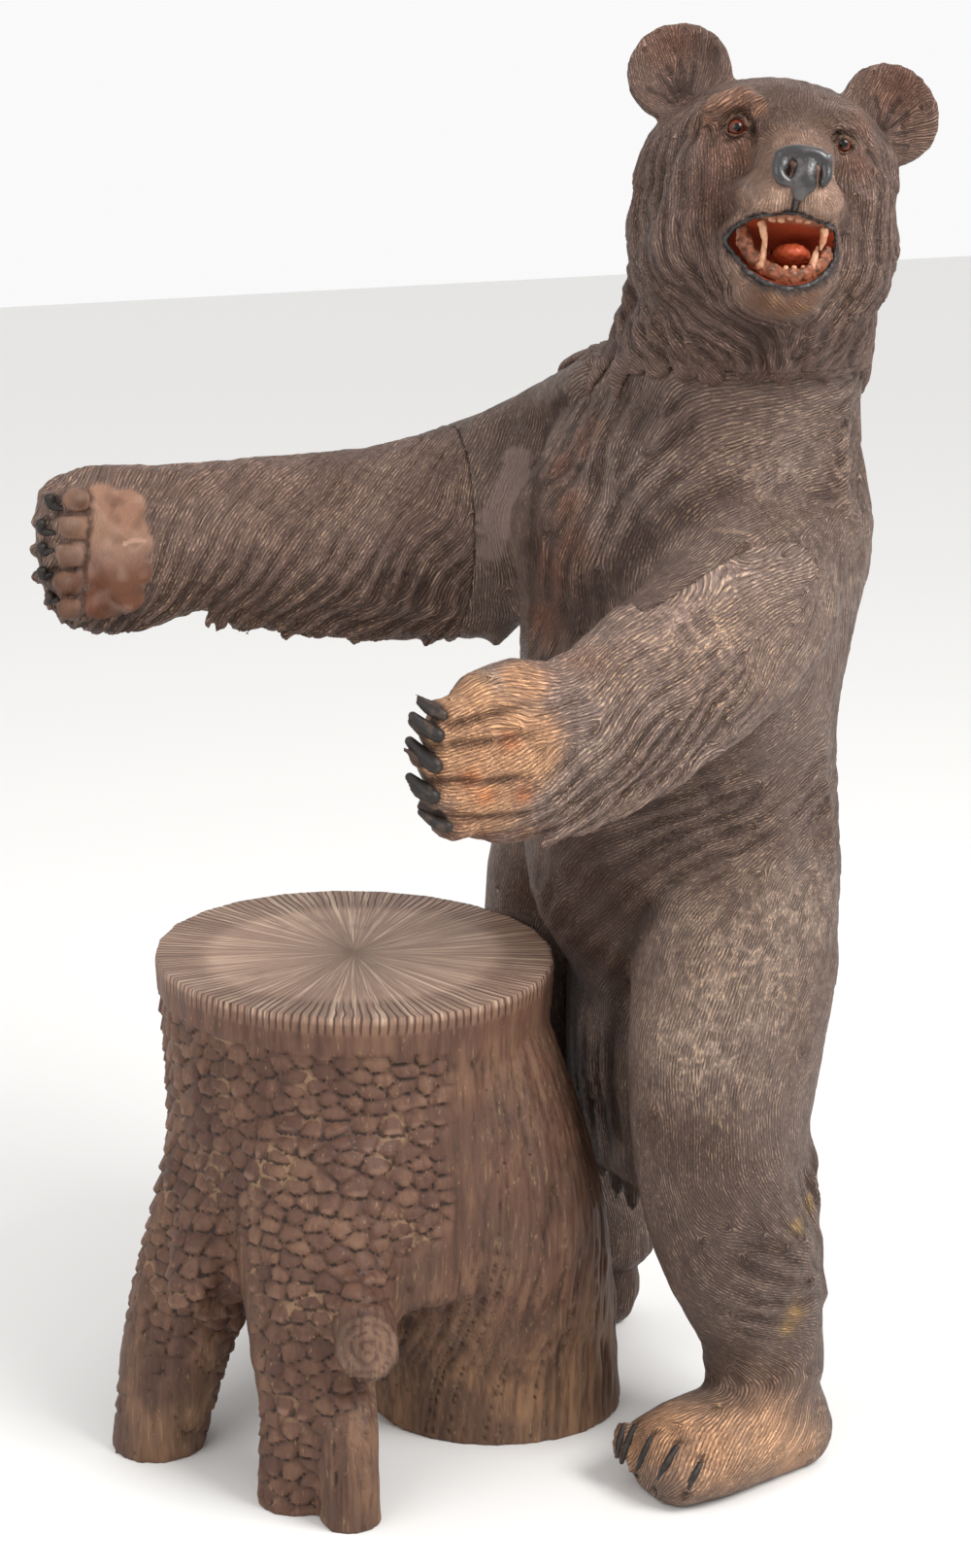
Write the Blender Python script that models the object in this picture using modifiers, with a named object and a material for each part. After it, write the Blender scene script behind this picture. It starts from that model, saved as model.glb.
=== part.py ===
"""Carved wooden bear standing behind a tree-stump seat, its arms held out round the sitter.

Metres, +Z up. The bear faces -Y and its left side is +X. The origin is on the floor, below the middle
of the whole piece. The trunk and legs, the head and both arms are blocks of their own, glued where the
carving shows a joint; the stump and the two glass eyes are the other pieces.
"""

import math

import bmesh
import bpy
from mathutils import Euler, Matrix, Vector
from mathutils.bvhtree import BVHTree

# Driving sizes
SEAT_HEIGHT = 0.535
STUMP_AXIS = Vector((-0.112, -0.106, 0.0))
NECK_JOINT_HEIGHT = 1.186
HEAD_CENTRE = Vector((0.138, 0.253, 1.353))
HEAD_YAW = math.radians(63)
HEAD_PITCH = math.radians(15.5)
HEAD_ROLL = math.radians(8.5)
EYE_RADIUS = 0.0095
TOOTH_RADIUS = 0.0055
LEFT_CLAW_RADIUS = 0.0085
RIGHT_CLAW_RADIUS = 0.0080
TOE_CLAW_RADIUS = 0.0065
RIGHT_JOINT = (-0.159, 0.049, 0.984)
RIGHT_JOINT_NORMAL = (-0.22, -0.97, 0.0)
LEFT_JOINT_X = 0.250
LEFT_JOINT_Y = 0.030
LEFT_ARM_HEIGHTS = (0.745, 1.100)
LEFT_FINGERS = (0.894, 0.872, 0.842, 0.811, 0.785)
FINGER_BACKS = (0.012, 0.003, 0.0, 0.002, 0.014)
RIGHT_FINGERS = (1.038, 1.010, 0.981, 0.951, 0.922)
TOE_CLAWS = (
    ((0.199, 0.052, 0.066), (0.214, 0.032, 0.034)),
    ((0.208, 0.054, 0.070), (0.220, 0.034, 0.030)),
    ((0.218, 0.060, 0.066), (0.230, 0.040, 0.024)),
    ((0.240, 0.072, 0.064), (0.246, 0.046, 0.016)),
    ((0.264, 0.088, 0.056), (0.266, 0.060, 0.014)),
)
EYES = {"eye_right": Vector((-0.057, -0.103, 0.036)), "eye_left": Vector((0.048, -0.103, 0.035))}
JOINT_GAP = 0.0003

# Fineness of the carving: grid that fuses the lumps, rounds of smoothing, and faces kept
BODY_GRID = 0.006
HEAD_GRID = 0.004
MOUTH_GRID = 0.003
STUMP_GRID = 0.006
BODY_FACES = 4000
HEAD_FACES = 2700
STUMP_FACES = 1560

CAP_RINGS = 4
BIG = 3.0


def clear_scene():
    for obj in list(bpy.data.objects):
        bpy.data.objects.remove(obj, do_unlink=True)


def smooth_path(stations, steps):
    """The stations with Catmull-Rom steps between them, so few stations make a smooth limb."""
    points = [Vector(s) for s in stations]
    ends = [points[0] * 2 - points[1], *points, points[-1] * 2 - points[-2]]
    path = []
    for before, start, stop, after in zip(ends, ends[1:], ends[2:], ends[3:]):
        for step in range(steps):
            t = step / steps
            path.append(
                0.5
                * (
                    2 * start
                    + (stop - before) * t
                    + (2 * before - 5 * start + 4 * stop - after) * t**2
                    + (3 * start - before - 3 * stop + after) * t**3
                )
            )
    path.append(points[-1])
    return path


class Clay:
    """Overlapping closed lumps that are fused into one carved form."""

    def __init__(self, name, sides=24, steps=4):
        self.name = name
        self.sides = sides
        self.steps = steps
        self.lumps = bmesh.new()

    def ball(self, centre, radii, turn=(0, 0, 0), place=Matrix()):
        """An ellipsoid; turn is in degrees about X, Y and Z."""
        spin = Euler([math.radians(a) for a in turn]).to_matrix().to_4x4()
        matrix = place @ Matrix.Translation(centre) @ spin @ Matrix.Diagonal((*radii, 1))
        bmesh.ops.create_uvsphere(
            self.lumps, u_segments=self.sides, v_segments=self.sides // 2, radius=1, matrix=matrix
        )

    def limb(self, stations, side=(1, 0, 0), place=Matrix(), cap=0.6):
        """A loft with round ends through stations of (x, y, z, half width along side, half height)."""
        path = smooth_path([_five(s) for s in stations], self.steps)
        centres = [place @ Vector(p[:3]) for p in path]
        side = place.to_3x3() @ Vector(side)
        rings = []
        for i, centre in enumerate(centres):
            along = (centres[min(i + 1, len(centres) - 1)] - centres[max(i - 1, 0)]).normalized()
            across = (side - along * side.dot(along)).normalized()
            rings.append((centre, along, across, path[i][3], path[i][4]))
        rings = [*_cap(rings[0], -cap), *rings, *_cap(rings[-1], cap)[::-1]]
        loops = [self._ring(*ring) for ring in rings]
        for first, second in zip(loops, loops[1:]):
            for k in range(self.sides):
                n = (k + 1) % self.sides
                self.lumps.faces.new((first[k], first[n], second[n], second[k]))
        self.lumps.faces.new(loops[0][::-1])
        self.lumps.faces.new(loops[-1])

    def dish(self, centre, radii, turn, place):
        """An ear: an ellipsoid whose front is pressed in, leaving a thick rim."""
        before = set(self.lumps.verts)
        self.ball((0, 0, 0), (1, 1, 1), turn=(90, 0, 0))
        spin = Euler([math.radians(a) for a in turn]).to_matrix().to_4x4()
        matrix = place @ Matrix.Translation(centre) @ spin @ Matrix.Diagonal((*radii, 1))
        for vert in set(self.lumps.verts) - before:
            reach = math.hypot(vert.co.x, vert.co.z)
            if vert.co.y < 0:
                vert.co.y = -0.75 * math.sqrt(max(1 - reach**2, 0)) * reach**4 + 0.6 * (1 - reach**2)
            vert.co = matrix @ vert.co

    def spike(self, stations):
        """A slim lofted point through (place, radius) stations, with few sides."""
        sides = 8
        loops = []
        along = (stations[-1][0] - stations[0][0]).normalized()
        across = along.orthogonal().normalized()
        up = along.cross(across)
        for centre, radius in stations:
            loop = []
            for k in range(sides):
                angle = math.tau * k / sides
                offset = across * (radius * math.cos(angle)) + up * (radius * math.sin(angle))
                loop.append(self.lumps.verts.new(centre + offset))
            loops.append(loop)
        for first, second in zip(loops, loops[1:]):
            for k in range(sides):
                n = (k + 1) % sides
                self.lumps.faces.new((first[k], first[n], second[n], second[k]))
        self.lumps.faces.new(loops[0][::-1])
        self.lumps.faces.new(loops[-1])

    def _ring(self, centre, along, across, width, height):
        up = along.cross(across)
        loop = []
        for k in range(self.sides):
            angle = math.tau * k / self.sides
            offset = across * (width * math.cos(angle)) + up * (height * math.sin(angle))
            loop.append(self.lumps.verts.new(centre + offset))
        return loop

    def lay(self, skin, path, width):
        """A raised lock of hair along the skin, thickest in the middle."""
        stations = []
        for k, near in enumerate(path):
            spot, outward = skin.find_nearest(Vector(near))[:2]
            swell = math.sin(math.pi * (k + 0.6) / (len(path) + 0.2))
            stations.append((*(spot - outward * width * 0.55), width * (0.4 + 0.6 * swell)))
        self.limb(stations, cap=0.8)

    def skin(self, grid):
        """The surface of the lumps so far, to lay locks of hair on."""
        lumps = self.lumps.copy()
        mesh = self.fused(grid, 4, None)
        self.lumps = lumps
        tree = BVHTree.FromPolygons([v.co for v in mesh.vertices], [p.vertices for p in mesh.polygons])
        bpy.data.meshes.remove(mesh)
        return tree

    def fused(self, grid, rounds, faces):
        """The lumps grown together into one mesh of about this many triangles."""
        bmesh.ops.recalc_face_normals(self.lumps, faces=self.lumps.faces)
        mesh = bpy.data.meshes.new(self.name)
        self.lumps.to_mesh(mesh)
        self.lumps.free()
        obj = bpy.data.objects.new(self.name, mesh)
        bpy.context.scene.collection.objects.link(obj)
        remesh = obj.modifiers.new("grow together", "REMESH")
        remesh.mode = "VOXEL"
        remesh.voxel_size = grid
        smooth = obj.modifiers.new("soften creases", "SMOOTH")
        smooth.factor = 0.5
        smooth.iterations = rounds
        obj.data = baked(obj)
        obj.modifiers.clear()
        if faces is None:
            mesh = obj.data
            bpy.data.objects.remove(obj)
            return mesh
        fine = sum(len(p.vertices) - 2 for p in obj.data.polygons)
        decimate = obj.modifiers.new("broad facets", "DECIMATE")
        decimate.ratio = faces / fine
        mesh = baked(obj)
        bpy.data.objects.remove(obj)
        return mesh


def _five(station):
    """A station as one five-number row that the path can interpolate."""
    x, y, z, width, *height = station
    return (x, y, z, width, height[0] if height else width)


def _cap(ring, cap):
    """Rings that round off the end of a limb, from the tip inwards."""
    centre, along, across, width, height = ring
    reach = min(width, height) * cap
    rings = []
    for k in range(CAP_RINGS, 0, -1):
        angle = math.radians(85) * k / CAP_RINGS
        scale = math.cos(angle)
        rings.append(
            (centre + along * (reach * math.sin(angle)), along, across, width * scale, height * scale)
        )
    return rings


def baked(obj):
    """The object's mesh as its modifiers leave it."""
    graph = bpy.context.evaluated_depsgraph_get()
    graph.update()
    return bpy.data.meshes.new_from_object(obj.evaluated_get(graph))


def wood(name, colour, roughness):
    material = bpy.data.materials.new(name)
    material.use_nodes = True
    shader = material.node_tree.nodes["Principled BSDF"]
    shader.inputs["Base Color"].default_value = (*colour, 1)
    shader.inputs["Roughness"].default_value = roughness
    shader.inputs["Metallic"].default_value = 0.0
    return material


def cutter(name, low, high):
    """A box that cuts pieces and isn't a piece itself."""
    low, high = Vector(low), Vector(high)
    bm = bmesh.new()
    bmesh.ops.create_cube(bm, size=1)
    mesh = bpy.data.meshes.new(name)
    bm.to_mesh(mesh)
    bm.free()
    mesh.transform(Matrix.Translation((low + high) / 2) @ Matrix.Diagonal((*(high - low), 1)))
    obj = bpy.data.objects.new(name, mesh)
    cutters.objects.link(obj)
    obj.hide_render = True
    obj.display_type = "WIRE"
    return obj


def cut(obj, tool, operation="DIFFERENCE"):
    modifier = obj.modifiers.new(tool.name, "BOOLEAN")
    modifier.operation = operation
    modifier.solver = "EXACT"
    modifier.use_self = operation != "DIFFERENCE" or "region" in tool.name
    modifier.object = tool


def opened(mesh, hollow):
    """The mesh with a hollow cut out of it."""
    obj = bpy.data.objects.new(mesh.name, mesh)
    bpy.context.scene.collection.objects.link(obj)
    cut(obj, hollow)
    mesh = baked(obj)
    bpy.data.objects.remove(obj)
    return mesh


def piece(name, mesh, material):
    obj = bpy.data.objects.new(name, mesh)
    pieces.objects.link(obj)
    obj.data.materials.clear()
    obj.data.materials.append(material)
    obj.data.shade_smooth()
    return obj


def head_place():
    """The head's own frame: it looks along -Y, its left is +X, turned to the bear's left and raised."""
    turn = (
        Matrix.Rotation(HEAD_YAW, 4, "Z")
        @ Matrix.Rotation(-HEAD_PITCH, 4, "X")
        @ Matrix.Rotation(HEAD_ROLL, 4, "Y")
    )
    return Matrix.Translation(HEAD_CENTRE) @ turn


def tuft(clay, root, tip, width, place=Matrix()):
    """A pointed lock of hair from root to tip."""
    root, tip = Vector(root), Vector(tip)
    middle = root.lerp(tip, 0.55)
    clay.limb(
        [(*root, width), (*middle, width * 0.72), (*tip, width * 0.22)],
        side=(0.6, 0.7, 0.3),
        place=place,
        cap=0.5,
    )


def fringe(clay, start, stop, hang, count, width):
    """A row of tufts between two points, hanging by turns longer and shorter."""
    start, stop, hang = Vector(start), Vector(stop), Vector(hang)
    for k in range(count):
        root = start.lerp(stop, (k + 0.5) / count)
        tuft(clay, root - hang * 0.8, root + hang * (1.0, 0.55, 0.85)[k % 3], width)


def neck_slope(clay):
    """The slope from the neck down to the right shoulder; the neck joint passes through it."""
    clay.limb([(0.106, 0.250, 1.208, 0.090), (0.015, 0.235, 1.120, 0.100), (-0.075, 0.195, 1.084, 0.094)])


def model_trunk(clay):
    clay.limb(
        [
            (0.030, 0.238, 0.500, 0.150, 0.120),
            (0.030, 0.234, 0.580, 0.186, 0.158),
            (0.031, 0.220, 0.680, 0.188, 0.164),
            (0.035, 0.214, 0.800, 0.187, 0.163),
            (0.039, 0.220, 0.900, 0.192, 0.172),
            (0.044, 0.232, 1.000, 0.198, 0.174),
            (0.050, 0.242, 1.080, 0.184, 0.164),
            (0.074, 0.248, 1.140, 0.148, 0.142),
            (0.104, 0.250, 1.200, 0.120, 0.124),
            (0.118, 0.250, 1.260, 0.114, 0.120),
        ]
    )
    neck_slope(clay)
    # Rump
    for side in (-1, 1):
        clay.ball((0.020 + side * 0.085, 0.256, 0.610), (0.103, 0.110, 0.135))
    # Chest between the arms
    clay.ball((0.030, 0.120, 0.990), (0.120, 0.085, 0.110))
    # The curtain of belly hair between the thighs, ragged at its lower edge
    clay.limb(
        [
            (0.020, 0.215, 0.560, 0.150, 0.090),
            (0.015, 0.192, 0.400, 0.130, 0.064),
            (0.015, 0.178, 0.270, 0.125, 0.034),
        ],
        cap=0.2,
    )
    fringe(clay, (-0.09, 0.178, 0.258), (0.15, 0.172, 0.258), (0.0, -0.006, -0.042), 7, 0.020)


def model_legs(clay):
    # Left leg
    clay.limb(
        [
            (0.150, 0.225, 0.660, 0.085, 0.110),
            (0.172, 0.205, 0.560, 0.090, 0.118),
            (0.184, 0.186, 0.470, 0.089, 0.112),
            (0.196, 0.172, 0.375, 0.084, 0.100),
            (0.208, 0.173, 0.290, 0.079, 0.089),
            (0.219, 0.194, 0.220, 0.073, 0.084),
            (0.222, 0.214, 0.150, 0.064, 0.070),
            (0.224, 0.218, 0.090, 0.062, 0.066),
        ],
        cap=0.3,
    )
    clay.limb(
        [
            (0.240, 0.250, 0.036, 0.052, 0.052),
            (0.246, 0.190, 0.046, 0.060, 0.056),
            (0.246, 0.120, 0.042, 0.070, 0.052),
            (0.244, 0.070, 0.036, 0.066, 0.046),
        ]
    )
    for k in range(4):
        root = Vector((0.225, 0.244 + 0.006 * k, 0.36 - 0.05 * k))
        tuft(clay, root, root + Vector((0.007, 0.030, -0.045)), 0.024)
    # Right leg, its foot turned out
    clay.limb(
        [
            (-0.118, 0.217, 0.660, 0.096, 0.116),
            (-0.164, 0.207, 0.560, 0.092, 0.104),
            (-0.176, 0.206, 0.450, 0.086, 0.094),
            (-0.168, 0.212, 0.330, 0.078, 0.086),
            (-0.156, 0.230, 0.230, 0.068, 0.076),
            (-0.150, 0.246, 0.150, 0.058, 0.064),
            (-0.150, 0.250, 0.090, 0.056, 0.060),
        ],
        cap=0.3,
    )
    clay.limb(
        [
            (-0.146, 0.262, 0.038, 0.048, 0.048),
            (-0.172, 0.220, 0.046, 0.052, 0.052),
            (-0.206, 0.165, 0.042, 0.060, 0.048),
            (-0.226, 0.132, 0.036, 0.056, 0.042),
        ]
    )


def model_right_arm(clay):
    clay.limb(
        [
            (-0.050, 0.240, 1.030, 0.110, 0.130),
            (-0.110, 0.180, 1.012, 0.100, 0.128),
            (-0.156, 0.090, 0.990, 0.088, 0.117),
            (-0.181, -0.022, 0.981, 0.078, 0.098),
            (-0.207, -0.127, 0.984, 0.070, 0.089),
            (-0.236, -0.228, 0.988, 0.054, 0.080),
            (-0.249, -0.279, 0.981, 0.046, 0.089),
            (-0.264, -0.332, 0.978, 0.044, 0.092),
            (-0.278, -0.368, 0.974, 0.036, 0.080),
        ]
    )
    clay.limb(
        [
            (-0.150, 0.100, 0.890, 0.028, 0.032),
            (-0.188, -0.060, 0.892, 0.024, 0.024),
            (-0.224, -0.200, 0.912, 0.018),
        ]
    )
    fringe(clay, (-0.146, 0.120, 0.872), (-0.222, -0.190, 0.904), (-0.004, -0.014, -0.030), 12, 0.018)
    # Palm and five finger pads
    clay.ball((-0.216, -0.305, 0.979), (0.014, 0.042, 0.068))
    for pad in range(5):
        spread = pad - 2
        clay.ball(
            (-0.238 + 0.002 * abs(spread), -0.367 + 0.003 * abs(spread), 0.981 - 0.030 * spread),
            (0.013, 0.018, 0.0140),
        )


def model_left_arm(clay):
    clay.limb(
        [
            (0.120, 0.250, 0.990, 0.090, 0.100),
            (0.195, 0.205, 0.958, 0.078, 0.102),
            (0.222, 0.116, 0.906, 0.074, 0.098),
            (0.232, 0.052, 0.880, 0.070, 0.092),
            (0.242, -0.011, 0.856, 0.064, 0.083),
            (0.252, -0.069, 0.846, 0.056, 0.083),
            (0.256, -0.125, 0.846, 0.050, 0.092),
            (0.255, -0.172, 0.850, 0.042, 0.080),
        ]
    )
    fringe(clay, (0.232, 0.165, 0.842), (0.252, -0.050, 0.776), (0.004, -0.022, -0.034), 8, 0.021)
    # Finger ends
    for height, back in zip(LEFT_FINGERS, FINGER_BACKS):
        clay.ball((0.262, -0.204 + back, height), (0.026, 0.024, 0.017))


def round_trunk(turn, height):
    """A place off the trunk at this height; turn is in degrees from the bear's left towards its front."""
    angle = math.radians(turn)
    return (0.040 + 0.26 * math.cos(angle), 0.222 - 0.26 * math.sin(angle), height)


def model_hair(clay, skin):
    """The locks that show from a step away: waves across belly and flank, long ones down chest and back."""
    for row in range(5):
        height = 0.870 - 0.052 * row
        path = []
        for step in range(7):
            turn = -35 + 24 * step
            path.append(round_trunk(turn, height - 0.022 * math.sin(math.radians(turn * 2.2 + 60 * row))))
        clay.lay(skin, path, 0.017)
    for lock in range(5):
        turn = 50 + 22 * lock
        sway = [7 * math.sin(step * 1.7 + lock) for step in range(5)]
        path = [round_trunk(turn + sway[step], 1.150 - 0.055 * step) for step in range(5)]
        clay.lay(skin, path, 0.015)
    for lock in range(7):
        turn = 200 + 22 * lock
        sway = [5 * math.sin(step * 1.5 + lock) for step in range(6)]
        for lower in range(2):
            top = 1.140 - 0.270 * lower - 0.03 * (lock % 2)
            path = [round_trunk(turn + sway[step], top - 0.05 * step) for step in range(6)]
            clay.lay(skin, path, 0.014)


def round_head(turn, height, reach=0.20):
    """A place off the head in the head's own frame; turn is in degrees from its left towards the face."""
    angle = math.radians(turn)
    return head_place() @ Vector((reach * math.cos(angle), 0.02 - reach * math.sin(angle), height))


def model_ruff(clay, skin):
    """Long locks from the cheeks down the neck."""
    for turn in (-150, -110, -70, -30, 5, 32, 148, 175):
        path = []
        for step in range(5):
            inward = 0.056 * step * (90 - turn) if 0 <= turn <= 180 else 0
            sway = 4 * math.sin(step * 1.9 + turn)
            path.append(round_head(turn + inward + sway, 0.005 - 0.045 * step))
        clay.lay(skin, path, 0.014)


def model_neck(clay):
    clay.limb(
        [
            (0.072, 0.247, 1.120, 0.150, 0.144),
            (0.104, 0.250, 1.200, 0.120, 0.124),
            (0.132, 0.246, 1.270, 0.116, 0.122),
            (0.140, 0.256, 1.350, 0.108, 0.110),
        ]
    )
    neck_slope(clay)


def model_head(clay):
    place = head_place()
    clay.ball((0, 0.012, 0.020), (0.126, 0.128, 0.097), place=place)
    # Ruffs
    clay.ball((-0.072, 0.020, -0.045), (0.069, 0.095, 0.092), place=place)
    clay.ball((-0.075, 0.020, 0.008), (0.066, 0.090, 0.075), place=place)
    clay.ball((0.058, 0.020, -0.030), (0.074, 0.095, 0.080), place=place)
    for side in (-1, 1):
        # Cheekbone, brow, cheek, corner of the jaws and front of the upper lip
        clay.ball((side * 0.060, -0.045, -0.012), (0.056, 0.060, 0.060), place=place)
        clay.ball((side * 0.046 - 0.004, -0.076, 0.060), (0.036, 0.026, 0.020), place=place)
        clay.ball((side * 0.066 - 0.004, -0.040, -0.075), (0.056, 0.066, 0.072), place=place)
        clay.ball((side * 0.046 - 0.006, -0.080, -0.092), (0.030, 0.040, 0.046), place=place)
        clay.ball((side * 0.022, -0.178, -0.040), (0.025, 0.024, 0.020), place=place)
    clay.limb(
        [
            (0, -0.050, 0.050, 0.062, 0.050),
            (0, -0.105, 0.018, 0.044, 0.038),
            (0, -0.155, -0.010, 0.037, 0.027),
            (0, -0.186, -0.020, 0.034, 0.022),
        ],
        place=place,
    )
    clay.limb(
        [
            (0, -0.080, -0.032, 0.072, 0.040),
            (0, -0.130, -0.034, 0.056, 0.030),
            (0, -0.170, -0.034, 0.046, 0.024),
        ],
        place=place,
    )
    # Rolls of the lower and the upper lip
    clay.limb(
        [
            (-0.058, -0.105, -0.080, 0.012),
            (-0.046, -0.130, -0.103, 0.013),
            (-0.023, -0.150, -0.121, 0.014),
            (0.004, -0.158, -0.127, 0.014),
            (0.030, -0.150, -0.118, 0.014),
            (0.044, -0.130, -0.100, 0.013),
            (0.051, -0.105, -0.078, 0.012),
        ],
        side=(0, 1, 0),
        place=place,
    )
    clay.limb(
        [
            (-0.058, -0.105, -0.078, 0.012),
            (-0.042, -0.140, -0.060, 0.010),
            (-0.022, -0.172, -0.052, 0.010),
            (0.000, -0.184, -0.049, 0.010),
            (0.022, -0.172, -0.051, 0.010),
            (0.040, -0.140, -0.058, 0.010),
            (0.051, -0.105, -0.076, 0.012),
        ],
        side=(0, 1, 0),
        place=place,
    )
    # Nose pad
    clay.ball((0, -0.199, -0.011), (0.030, 0.018, 0.014), place=place)
    clay.ball((0, -0.200, -0.027), (0.018, 0.014, 0.018), place=place)
    # Lower jaw, chin and throat
    clay.limb(
        [
            (-0.004, -0.045, -0.100, 0.066, 0.045),
            (-0.002, -0.100, -0.124, 0.052, 0.030),
            (0.003, -0.140, -0.132, 0.042, 0.020),
            (0.006, -0.158, -0.131, 0.032, 0.016),
        ],
        place=place,
    )
    clay.ball((0, -0.030, -0.120), (0.100, 0.085, 0.070), place=place)
    model_neck(clay)
    clay.dish((-0.112, 0.000, 0.110), (0.055, 0.032, 0.055), turn=(-8, 0, -12), place=place)
    clay.dish((0.108, 0.000, 0.100), (0.055, 0.032, 0.055), turn=(-8, 0, 12), place=place)


def model_mouth(clay):
    """The hollow of the open mouth, from the lips to the throat."""
    clay.limb(
        [
            (-0.003, -0.200, -0.087, 0.026, 0.020),
            (-0.003, -0.165, -0.087, 0.034, 0.027),
            (-0.004, -0.135, -0.087, 0.042, 0.028),
            (-0.004, -0.108, -0.088, 0.036, 0.024),
            (-0.004, -0.090, -0.089, 0.022, 0.015),
        ],
        place=head_place(),
    )


def mouth_teeth():
    """Four eye teeth, as (root, tip, bend) in world places."""
    place = head_place()
    teeth = []
    for x in (-0.028, 0.026):
        teeth.append(((x, -0.163, -0.052), (x, -0.169, -0.085), (0, -0.002, 0)))
        teeth.append(((x, -0.140, -0.113), (x * 1.04, -0.150, -0.083), (0, -0.002, 0)))
    return [(place @ Vector(a), place @ Vector(b), place.to_3x3() @ Vector(c)) for a, b, c in teeth]


def model_tongue(clay):
    """The tongue, and the gums with the small front teeth."""
    place = head_place()
    clay.limb(
        [
            (0.002, -0.080, -0.102, 0.026, 0.016),
            (0.004, -0.115, -0.098, 0.021, 0.014),
            (0.006, -0.130, -0.094, 0.018, 0.012),
        ],
        place=place,
    )
    for height, front, half in ((-0.057, -0.178, 0.029), (-0.110, -0.150, 0.032)):
        ends = [(side * half, front + 0.027, height, 0.009) for side in (-1, 1)]
        clay.limb([ends[0], (0, front, height - 0.006, 0.009), ends[1]], place=place)


def tool_from(clay):
    """A lump of clay as it stands, kept as a shape that is joined to a piece or cut from it."""
    bmesh.ops.recalc_face_normals(clay.lumps, faces=clay.lumps.faces)
    mesh = bpy.data.meshes.new(clay.name)
    clay.lumps.to_mesh(mesh)
    clay.lumps.free()
    obj = bpy.data.objects.new(clay.name, mesh)
    cutters.objects.link(obj)
    obj.hide_render = True
    obj.display_type = "WIRE"
    return obj


def add_points(clay, claws, radius):
    """Claws or teeth as slim curved cones, each given as (base, tip, bend)."""
    for base, tip, bend in claws:
        base, tip, bend = Vector(base), Vector(tip), Vector(bend)
        stations = []
        for k in range(4):
            t = k / 3
            along = base.lerp(tip, t) + bend * (4 * t * (1 - t))
            stations.append((along, radius * ((1 - t) ** 0.6 + 0.15)))
        clay.spike(stations)


def points_of(name, claws, radius):
    clay = Clay(name)
    add_points(clay, claws, radius)
    return tool_from(clay)


def left_hand_claws():
    claws = []
    for height, back in zip(LEFT_FINGERS, FINGER_BACKS):
        base = Vector((0.264, -0.204 + back, height))
        claws.append((base, base + Vector((-0.008, -0.036, 0.022)), (0.003, -0.005, -0.003)))
    return claws


def right_hand_claws():
    claws = []
    for height, back in zip(RIGHT_FINGERS, FINGER_BACKS):
        base = Vector((-0.286, -0.376 + back, height))
        claws.append((base, base + Vector((0.030, -0.018, 0.004)), (-0.004, -0.010, 0.0)))
    return claws


def foot_claws():
    return [(Vector(top), Vector(tip), (0.0, -0.003, 0.003)) for top, tip in TOE_CLAWS]


def model_stump(clay):
    x, y = STUMP_AXIS.x, STUMP_AXIS.y
    away = Vector((-0.866, 0.5, 0.0))
    # Trunk, a little wider along X than across
    stations = []
    for height, width, depth, shift in (
        (0.200, 0.202, 0.195, 0.030),
        (0.280, 0.216, 0.208, 0.024),
        (0.380, 0.218, 0.206, 0.012),
        (0.460, 0.226, 0.210, -0.002),
        (0.530, 0.232, 0.213, -0.006),
        (0.620, 0.232, 0.213, -0.006),
    ):
        stations.append((x - away.x * shift, y - away.y * shift, height, width, depth))
    clay.limb(stations, side=(1, 0.12, 0), cap=0.12)
    # Root legs: front left, front with its fork, the broad one beside the bear's left foot, the far one
    clay.limb(
        [
            (-0.122, -0.215, 0.360, 0.100),
            (-0.119, -0.272, 0.250, 0.079),
            (-0.125, -0.320, 0.130, 0.063),
            (-0.129, -0.353, -0.02, 0.050),
        ]
    )
    clay.limb(
        [
            (0.000, -0.190, 0.360, 0.112),
            (0.034, -0.218, 0.250, 0.096),
            (0.056, -0.243, 0.160, 0.072),
            (0.064, -0.260, 0.090, 0.052),
            (0.058, -0.276, -0.02, 0.040),
        ]
    )
    clay.limb([(0.070, -0.240, 0.150, 0.050), (0.126, -0.244, 0.080, 0.036), (0.130, -0.242, -0.02, 0.033)])
    clay.limb(
        [
            (-0.030, -0.055, 0.420, 0.140, 0.140),
            (-0.004, -0.024, 0.290, 0.142, 0.138),
            (-0.014, 0.002, 0.195, 0.141, 0.128),
            (-0.028, 0.021, 0.100, 0.140, 0.119),
            (-0.034, 0.030, -0.02, 0.144, 0.116),
        ],
        side=(0.5, 0.866, 0),
    )
    clay.limb(
        [
            (-0.220, -0.080, 0.380, 0.090),
            (-0.258, -0.070, 0.250, 0.074),
            (-0.286, -0.058, 0.130, 0.056),
            (-0.298, -0.050, -0.02, 0.050),
        ]
    )
    # Sawn-off branches
    clay.limb(
        [
            (0.070, -0.190, 0.290, 0.040),
            (0.120, -0.225, 0.245, 0.036),
            (0.156, -0.232, 0.210, 0.032),
        ],
        cap=0.15,
    )
    clay.limb(
        [
            (-0.080, -0.300, 0.300, 0.034),
            (-0.052, -0.330, 0.240, 0.032),
            (-0.046, -0.345, 0.195, 0.026),
        ],
        cap=0.15,
    )


def half_space(name, point, normal, low, high):
    """A box whose first face lies in the plane through point, reaching out along normal."""
    normal = Vector(normal).normalized()
    turn = normal.to_track_quat("Y", "Z").to_matrix().to_4x4()
    obj = cutter(name, (low[0], 0, low[1]), (high[0], BIG, high[1]))
    obj.data.transform(Matrix.Translation(point) @ turn)
    return obj


def joined(name, mesh_a, mesh_b):
    """Two overlapping cutters as one."""
    obj = cutter(name, (0, 0, 0), (1, 1, 1))
    bm = bmesh.new()
    for mesh in (mesh_a, mesh_b):
        bm.from_mesh(mesh)
    bm.to_mesh(obj.data)
    bm.free()
    return obj


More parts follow.
